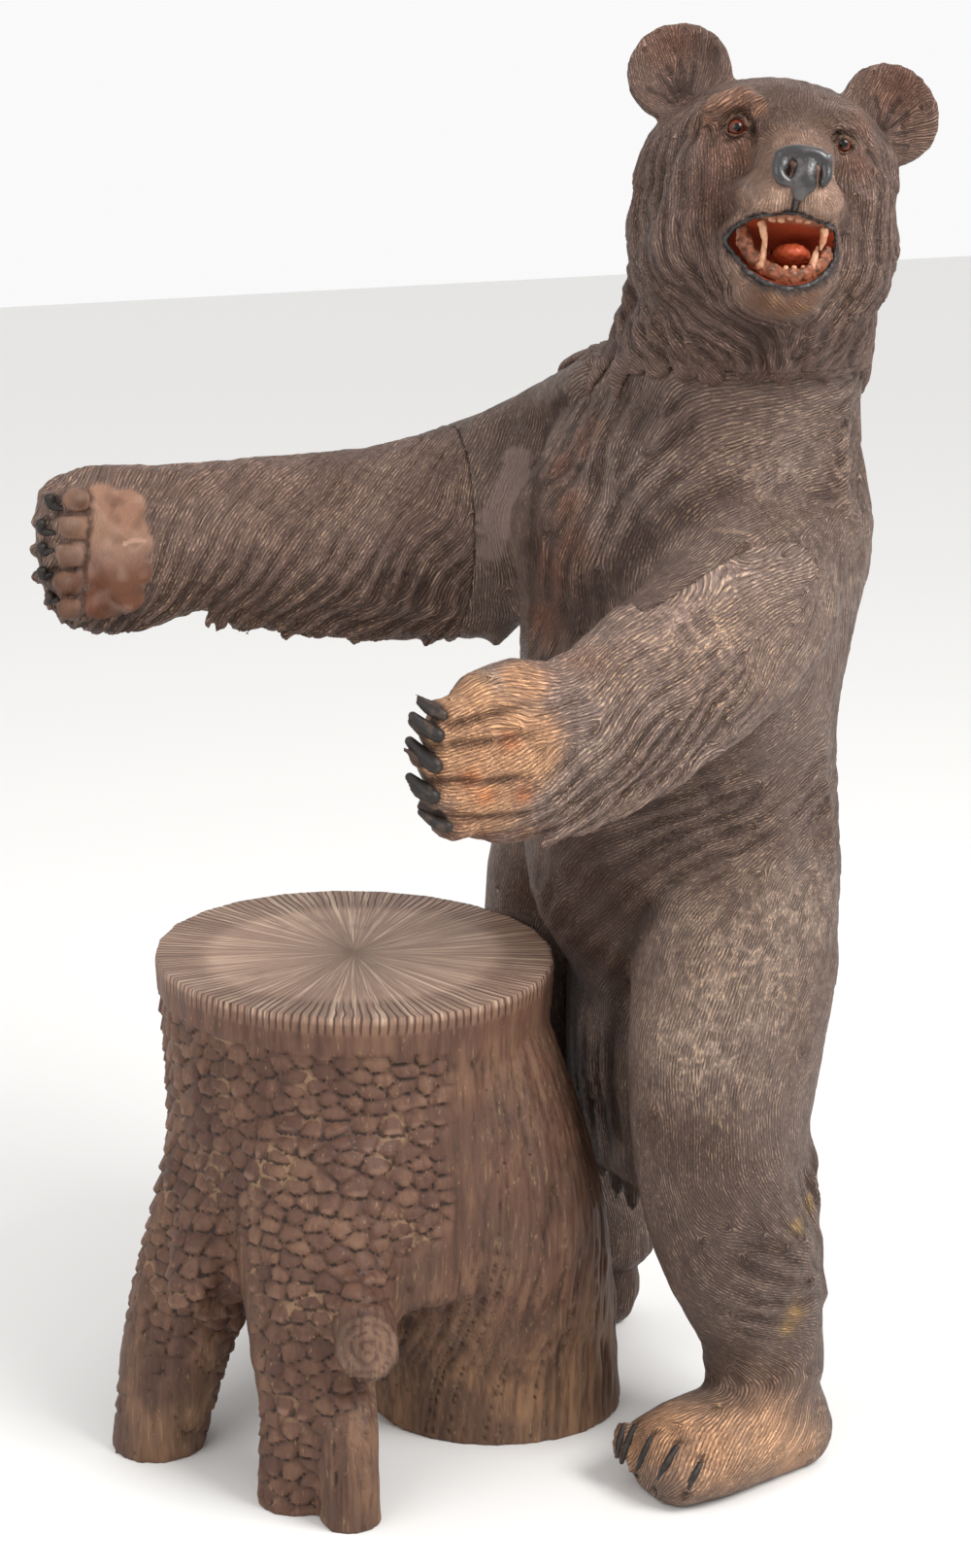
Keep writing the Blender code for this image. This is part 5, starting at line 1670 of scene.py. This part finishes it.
class BEAR_OT_eyes(bpy.types.Operator):
    """Glass eyes with amber rings."""

    bl_idname = "bear.eyes"
    bl_label = "Paint the eyes"

    def execute(self, context):
        gaze = (HEAD_TURN.to_3x3() @ Vector((0, -0.98, -0.2))).normalized()
        for name, centre in EYES.items():
            middle = HEAD @ (centre + Vector((0, 0.0012, 0)))
            ball = Shapes(sides=48)
            ball.ball(middle, [EYE_RADIUS * 0.94] * 3)
            piece(name + "_glass", ball.mesh(name), self.glass(name, middle, gaze), "eye_glass", name)
        return {"FINISHED"}

    def glass(self, name, middle, gaze):
        """Black pupil, amber ring and dark brown round it, by the angle from the gaze."""
        mat = Recipe(name.replace("_", " ") + " glass")
        way = mat.vector_math("NORMALIZE", mat.vector_math("SUBTRACT", mat.place(), tuple(middle)))
        turn = mat.vector_math("DOT_PRODUCT", way, tuple(gaze), output="Value")
        ring = mat.mix(turn.ramp(0.86, 0.90), tuple(colours().amber), tone(8, 6, 5))
        outer = mat.mix(turn.ramp(0.42, 0.5), tone(30, 20, 15), ring)
        return mat.made(outer, 0.08, Specular_IOR_Level=0.35)


class BEAR_OT_claws(bpy.types.Operator):
    """Black claws of both paws and the left foot."""

    bl_idname = "bear.claws"
    bl_label = "Make the claws"

    def execute(self, context):
        material = self.paint()
        shapes = Shapes(sides=16)
        for spots in self.laid("carved_right_arm", CLAWS["right"], 0.004):
            widths = (0.0052, 0.0048, 0.0022)
            shapes.rod([(*p, w, w * 1.1) for p, w in zip(spots, widths)], side=(1, 0, 0.2), steps=5)
        piece("right_paw_claws", shapes.mesh("claws"), material, "arm_wood")
        shapes = Shapes(sides=16)
        thick = (0.0052, 0.0070, 0.0078, 0.0072, 0.0062)
        for spots, w in zip(self.laid("carved_left_arm", CLAWS["left"], 0.003), thick):
            stations = [(*p, r) for p, r in zip(spots, (w, w, w * 0.62))]
            shapes.rod(stations, side=(1, 0, 0.2), steps=5, cap=1.0)
        piece("left_paw_claws", shapes.mesh("claws"), material, "arm_wood")
        shapes = Shapes(sides=12)
        for spots in self.laid("carved_body", CLAWS["foot"], 0.0005):
            widths = (0.0034, 0.0042, 0.0022)
            shapes.rod([(*p, w, w * 0.8) for p, w in zip(spots, widths)], side=(0.5, 0.866, 0))
        piece("foot_claws", shapes.mesh("claws"), material, "body_wood")
        return {"FINISHED"}

    def paint(self):
        mat = Recipe("black claw paint")
        rubbed = mat.noise(70, 3).ramp(0.52, 0.72)
        colour = mat.mix(rubbed * 0.5, tuple(colours().black), tone(92, 74, 62))
        rough = 0.42 + mat.noise(150) * 0.12
        return mat.made(colour, rough, mat.noise(300, 2), 0.0005, Specular_IOR_Level=0.3)

    def laid(self, name, claws, lift):
        """Places of each claw on a carved block, its root lifted off; past the edge the depth goes on."""
        block = Block(bpy.data.objects[name].data)
        block.make_tree()
        laid = []
        for claw in claws:
            spots = []
            for u, v in claw:
                hit = block.tree.ray_cast(STANDPOINT, Sight.ray(u, v))[0]
                if hit is None:
                    hit = spots[-1] if spots else block.seen(u, v)[0]
                spots.append(Sight.at_depth(u, v, hit) - Sight.ray(u, v) * (0 if spots else lift))
            laid.append(spots)
        return laid


class BEAR_OT_stump(bpy.types.Operator):
    """The tree stump: grooved seat, bark scales, roots and sawn branches."""

    bl_idname = "bear.stump"
    bl_label = "Carve the stump"

    def execute(self, context):
        size = sizes()
        block = grown("stump_seat", size.stump_grid, self.branch())
        block.smooth(8)
        block.flat(((0, 0, SEAT_HEIGHT), (0, 0, 1)), 0.004)
        block.stand()
        block.find_normals()
        block.make_tree()
        x, y, z = block.points.T
        around = np.arctan2(y - SEAT_MIDDLE[1], x - SEAT_MIDDLE[0])
        reach = np.hypot(x - SEAT_MIDDLE[0], y - SEAT_MIDDLE[1])
        seat = step(z, SEAT_HEIGHT - 0.012, SEAT_HEIGHT - 0.002)
        scaly = self.scaly(block, around, reach, seat)
        shape, tint, under = self.scales(block, size.scale)
        from_disc = np.linalg.norm(block.points - np.array(block.seen(*KNOT)[0]), axis=1)
        facing = step(block.normals @ -np.array(Sight.ray(*KNOT)), 0.45, 0.75)
        knot = step(from_disc, 0.036, 0.031) * facing
        scaly *= 1 - step(from_disc, 0.050, 0.040)
        bent = np.stack([np.cos(around) * 9, np.sin(around) * 9, z * 1.2], axis=1)
        grooves = np.abs(wander(bent, 0.42, 5)) ** 0.6
        cracks = step(np.abs(wander(bent, 0.9, 15)), 0.07, 0.0)
        rough = wander(block.points * np.array([3.2, 3.2, 0.7]), 0.05, 6)
        hewn = (1 - scaly) * (1 - seat) * (1 - knot) * step(z, 0.49, 0.47)
        leg = np.clip(block.spots(*LEFT_ROOT) * 1.5, 0, 1)
        rings = np.sin(from_disc / 0.0095 * math.tau + 1.6 * wander(block.points, 0.03, 4))
        rim = step(np.abs(z - (SEAT_HEIGHT - 0.007)), 0.015, 0.008) * step(reach, 0.15, 0.18)
        hewn_depth = 0.0030 * (grooves - 0.6) + 0.0012 * rough - 0.0040 * cracks
        push = scaly * (shape - 0.75) * size.scale_depth
        push += hewn * (1 - 0.8 * leg) * hewn_depth * step(z, 0.0, 0.01)
        push += knot * 0.0008 * rings
        block.push(push)
        self.dye(block, seat, hewn, leg)
        block.wash(tone(136, 108, 90), knot * 0.9)
        block.wash(tone(60, 42, 34), knot * step(rings, -0.2, -0.8) * 0.85)
        # Painted shade round the rim of the sawn disc
        block.wash(tone(50, 34, 28), step(np.abs(from_disc - 0.035), 0.004, 0.001) * 0.7)
        # Painted shade in the cracks of the hewn wood
        block.wash(tone(40, 28, 24), hewn * cracks * 0.8)
        block.wash(tone(138, 106, 88), rim * 0.5)
        # cavity is low between the bark scales and in the hewn grooves; the shader paints shade there
        cavity = np.where(scaly > 0.01, shape * scaly + (1 - scaly) * 0.8, 0.8)
        cavity -= (0.5 - 0.5 * grooves) * hewn * (1 - leg)
        block.keep("rim", rim)
        block.keep("bark", np.clip(cavity, 0, 1), tint, scaly)
        block.keep("seat", seat)
        block.keep("under", under * scaly)
        block.finished("carved_stump", self.stump_wood(), "stump_wood", "stump_seat")
        return {"FINISHED"}

    def scaly(self, block, around, reach, seat):
        """Where the bark scales are: as in the picture, and all round the side that it doesn't show."""
        z = block.points[:, 2]
        hidden = step(np.cos(around - math.radians(-150)), -0.1, 0.2) * step(reach, 0.10, 0.14)
        scaly = np.maximum(block.spots(*SCALY) * 1.6, hidden)
        scaly = np.clip(scaly, 0, 1) * step(z, 0.500, 0.485) * (1 - seat) * step(z, 0.0, 0.012)
        return step(scaly * (1 - 0.9 * block.spots(*BARE_WOOD)), 0.25, 0.6)

    def dye(self, block, seat, hewn, leg):
        """Stain of the bark, the seat and its band, and the dry wood of the roots."""
        paint = colours()
        z = block.points[:, 2]
        foot = block.spots(*FRONT_FOOT)
        block.prime(paint.bark)
        block.wash(paint.seat, seat)
        block.wash(tone(90, 62, 51), step(z, 0.485, 0.50) * (1 - seat) * 0.9)
        block.wash(tone(84, 60, 48), leg * 0.8)
        block.wash(tone(140, 106, 78), hewn * step(z, 0.22, 0.05) * (1 - leg) * (1 - foot) * 0.7)
        block.wash(tone(112, 84, 66), hewn * foot * 0.6)

    def branch(self):
        """The sawn stub of a branch, which ends in the ringed disc."""
        trunk = packed("stump_seat")
        away = Sight.ray(*KNOT)
        disc, root = trunk.seen(*KNOT)[0], trunk.seen(*BRANCH_ROOT)[0]
        start, middle, end = root + away * 0.012, root.lerp(disc, 0.5), disc + away * 0.012
        shapes = Shapes(sides=28)
        shapes.rod([(*(disc + away * 0.03), 0.033), (*(disc - away * 0.010), 0.0335)], steps=2, cap=0.25)
        shapes.rod([(*start, 0.020), (*middle, 0.027), (*end, 0.030)])
        return shapes.mesh("branch")

    def scattered(self, points, apart, rng):
        """Points picked at random that keep at least this far apart."""
        picked, taken = [], {}
        for index in rng.permutation(len(points)):
            p = points[index]
            key = tuple(np.floor(p / apart).astype(int))
            around = itertools.product(*((c - 1, c, c + 1) for c in key))
            near = (other for cell in around for other in taken.get(cell, ()))
            if all(((p - other) ** 2).sum() >= apart**2 for other in near):
                picked.append(p)
                taken.setdefault(key, []).append(p)
        return np.array(picked)

    def scales(self, block, width):
        """Rounded bark scales: their height from 0 to 1, a tint for each, and the shade under them."""
        rng = np.random.default_rng(8)
        points = block.points * np.array([1, 1, 1.5])
        seeds = self.scattered(points, width * 0.86, rng)
        tree = KDTree(len(seeds))
        for k, p in enumerate(seeds):
            tree.insert(p, k)
        tree.balance()
        tints = rng.uniform(0, 1, len(seeds))
        near, far = np.empty(len(points)), np.empty(len(points))
        own = np.empty(len(points), int)
        for k, p in enumerate(points):
            (_, own[k], near[k]), (_, _, far[k]) = tree.find_n(p, 2)
        gap = (far - near) / width
        above_middle = (points - seeds[own])[:, 2]
        below = np.clip(-above_middle / (0.5 * width), -1, 1)
        shape = step(gap, 0.0, 0.42) ** 0.8 * (0.68 + 0.32 * below)
        under = step(gap, 0.30, 0.0) * step(above_middle / np.maximum(near, 1e-6), 0.2, -0.6)
        return shape, tints[own], under

    def stump_wood(self):
        """Grooved seat, bark scales and hewn wood, each where the block has kept it; painted shade between
        and under the scales and in the hewn grooves, and a painted highlight on the scales' raised edges.
        """
        mat = Recipe("stained stump wood")
        cavity, tint, scaly = mat.parts(mat.field("bark", "Vector"))
        seat, under = mat.field("seat"), mat.field("under")
        x, y, z = mat.parts(mat.place())
        dx, dy = x - SEAT_MIDDLE[0], y - SEAT_MIDDLE[1]
        reach = (dx * dx + dy * dy) ** 0.5
        far = reach.most(0.004)
        rays = mat.noise(1.0, 4, mat.vector(dx / far * 22, dy / far * 22, reach * 4), 0.62)
        fine_rays = mat.noise(1.0, 2, mat.vector(dx / far * 55, dy / far * 55, reach * 9), 0.6)
        ray = (rays * 0.45 + fine_rays * 0.55).ramp(0.40, 0.60)
        grain = mat.noise(1.0, 4, mat.vector(x * 50, y * 50, z * 7), 0.65)
        long_cuts = mat.noise(1.0, 3, mat.vector(x * 210, y * 210, z * 9), 0.6)
        chips = mat.noise(1.0, 3, mat.vector(x * 260, y * 260, z * 90), 0.6)
        dusty = mat.noise(16, 4)
        side = 1 - seat
        hewn = side * (1 - scaly)
        rugged = hewn * z.ramp(0.505, 0.475)
        base = mat.field("stain", "Color")
        base = mat.mix(grain.ramp(0.40, 0.72) * side * 0.40, base, tone(134, 104, 80))
        base = mat.mix(grain.ramp(0.52, 0.30) * side * 0.60, base, tone(56, 38, 31))
        base = mat.mix(long_cuts.ramp(0.50, 0.34) * rugged * 0.40, base, tone(50, 34, 28))
        base = mat.mix(mat.noise(8, 3).ramp(0.44, 0.60) * rugged * 0.55, base, tone(78, 52, 42))
        dusty_cuts = long_cuts.ramp(0.58, 0.70) * dusty.ramp(0.42, 0.6) * rugged
        base = mat.mix(dusty_cuts * 0.50, base, tone(176, 146, 106))
        base = mat.mix(dusty.ramp(0.40, 0.62) * rugged * 0.35, base, tone(84, 66, 56))
        base = mat.mix(scaly * (tint * 0.70), base, tone(70, 46, 39))
        # Painted shade in the low gaps between the scales
        base = mat.mix(cavity.ramp(0.50, 0.05) * scaly * 0.50, base, tone(66, 45, 37))
        # Painted highlight on the raised lower edges of the scales, in patches
        scale_highlight = cavity.ramp(0.72, 0.95) * scaly * dusty.ramp(0.40, 0.62)
        base = mat.mix(scale_highlight * 0.40, base, tone(150, 118, 100))
        dusty_gaps = cavity.ramp(0.40, 0.20) * scaly * dusty.ramp(0.52, 0.66)
        base = mat.mix(dusty_gaps * 0.55, base, tone(160, 128, 98))
        # Painted shadow under each scale
        base = mat.mix(under.ramp(0.10, 0.75) * 0.85, base, tone(36, 24, 19))
        # Painted shade in the grooves of the hewn wood
        base = mat.mix(cavity.ramp(0.55, 0.20) * hewn * 0.7, base, tone(40, 27, 22))
        base = mat.mix(chips.ramp(0.62, 0.72) * side * 0.30, base, tone(172, 140, 102))
        base = mat.mix((1 - ray) * seat * 0.62, base, tone(104, 80, 68))
        base = mat.mix(ray.ramp(0.75, 1.0) * seat * 0.30, base, tone(214, 194, 170))
        base = mat.mix(dusty.ramp(0.52, 0.72) * seat * 0.35, base, tone(124, 94, 80))
        turn = mat.node("ShaderNodeMath", {"operation": "ARCTAN2"}, {0: dy, 1: dx})
        tick = (turn * 76 + mat.noise(14, 2) * 6.0).sine().size().ramp(0.55, 0.15) * mat.field("rim")
        base = mat.mix(tick * 0.75, base, tone(58, 40, 33))
        height = (grain * 0.4 + chips * 0.2) * side + long_cuts * rugged * 0.8 + ray * seat - tick
        return mat.made(base, 0.50 + grain * 0.12, height, 0.0014, 0.9, Specular_IOR_Level=0.24)


class BEAR_OT_stage(bpy.types.Operator):
    """Pale floor, soft light and the camera."""

    bl_idname = "bear.stage"
    bl_label = "Set the stage"

    def execute(self, context):
        scene, stage = context.scene, context.scene.bear_stage
        scene.view_settings.view_transform = "Standard"
        mesh = bpy.data.meshes.new("studio_floor")
        reach = stage.floor_reach
        corners = [(-reach, -reach, 0), (reach, -reach, 0), (reach, reach, 0), (-reach, reach, 0)]
        mesh.from_pydata(corners, [], [(0, 1, 2, 3)])
        floor = bpy.data.objects.new("studio_floor", mesh)
        scene.collection.objects.link(floor)
        mat = Recipe("pale studio floor")
        mesh.materials.append(mat.made(tuple(colours().floor), 0.9))
        world = bpy.data.worlds.new("pale surround")
        scene.world = world
        world.use_nodes = True
        ground = world.node_tree.nodes["Background"]
        ground.inputs["Color"].default_value = (1, 1, 1, 1)
        ground.inputs["Strength"].default_value = stage.sky
        target = Vector((0.0, 0.0, 0.8))
        for name, place, power, width in (
            ("key light", (2.9, 1.3, 3.6), stage.key, 1.9),
            ("fill light", (1.2, -3.2, 2.6), stage.fill, 2.6),
        ):
            light = bpy.data.lights.new(name, "AREA")
            light.energy = power
            light.size = width
            lamp = bpy.data.objects.new(name, light)
            scene.collection.objects.link(lamp)
            lamp.location = place
            lamp.rotation_mode = "QUATERNION"
            lamp.rotation_quaternion = (target - Vector(place)).to_track_quat("-Z", "Y")
        data = bpy.data.cameras.new("view")
        data.sensor_width = 36
        data.lens = FOCAL / LONG_SIDE * data.sensor_width
        data.clip_start, data.clip_end = 0.05, 60
        camera = bpy.data.objects.new("view", data)
        scene.collection.objects.link(camera)
        camera.location = STANDPOINT
        camera.rotation_mode = "QUATERNION"
        camera.rotation_quaternion = Sight.forward.to_track_quat("-Z", "Y")
        scene.camera = camera
        return {"FINISHED"}


class BEAR_PT_panel(bpy.types.Panel):
    """Colours, sizes and steps of the carved bear."""

    bl_label = "Carved Bear"
    bl_space_type = "VIEW_3D"
    bl_region_type = "UI"
    bl_category = "Carved Bear"

    def draw(self, context):
        scene = context.scene
        for group in (scene.bear_colours, scene.bear_sizes, scene.bear_stage):
            box = self.layout.box()
            for name in group.__annotations__:
                box.prop(group, name)
        for operator in STEPS:
            self.layout.operator(operator.bl_idname)


STEPS = (
    BEAR_OT_stage,
    BEAR_OT_stump,
    BEAR_OT_body,
    BEAR_OT_arms,
    BEAR_OT_head,
    BEAR_OT_mouth,
    BEAR_OT_nose,
    BEAR_OT_eyes,
    BEAR_OT_claws,
)
GROUPS = {"bear_colours": BearColours, "bear_sizes": BearSizes, "bear_stage": BearStage}


def register():
    for cls in (*GROUPS.values(), *STEPS, BEAR_PT_panel):
        bpy.utils.register_class(cls)
    for name, group in GROUPS.items():
        setattr(bpy.types.Scene, name, bpy.props.PointerProperty(type=group))


def unregister():
    for name in GROUPS:
        delattr(bpy.types.Scene, name)
    for cls in (BEAR_PT_panel, *STEPS[::-1], *GROUPS.values()):
        bpy.utils.unregister_class(cls)


def main():
    register()
    bpy.ops.bear.stage()
    bpy.ops.bear.stump()
    bpy.ops.bear.body()
    bpy.ops.bear.arms()
    bpy.ops.bear.head()
    bpy.ops.bear.mouth()
    bpy.ops.bear.nose()
    bpy.ops.bear.eyes()
    bpy.ops.bear.claws()


if __name__ == "__main__":
    main()
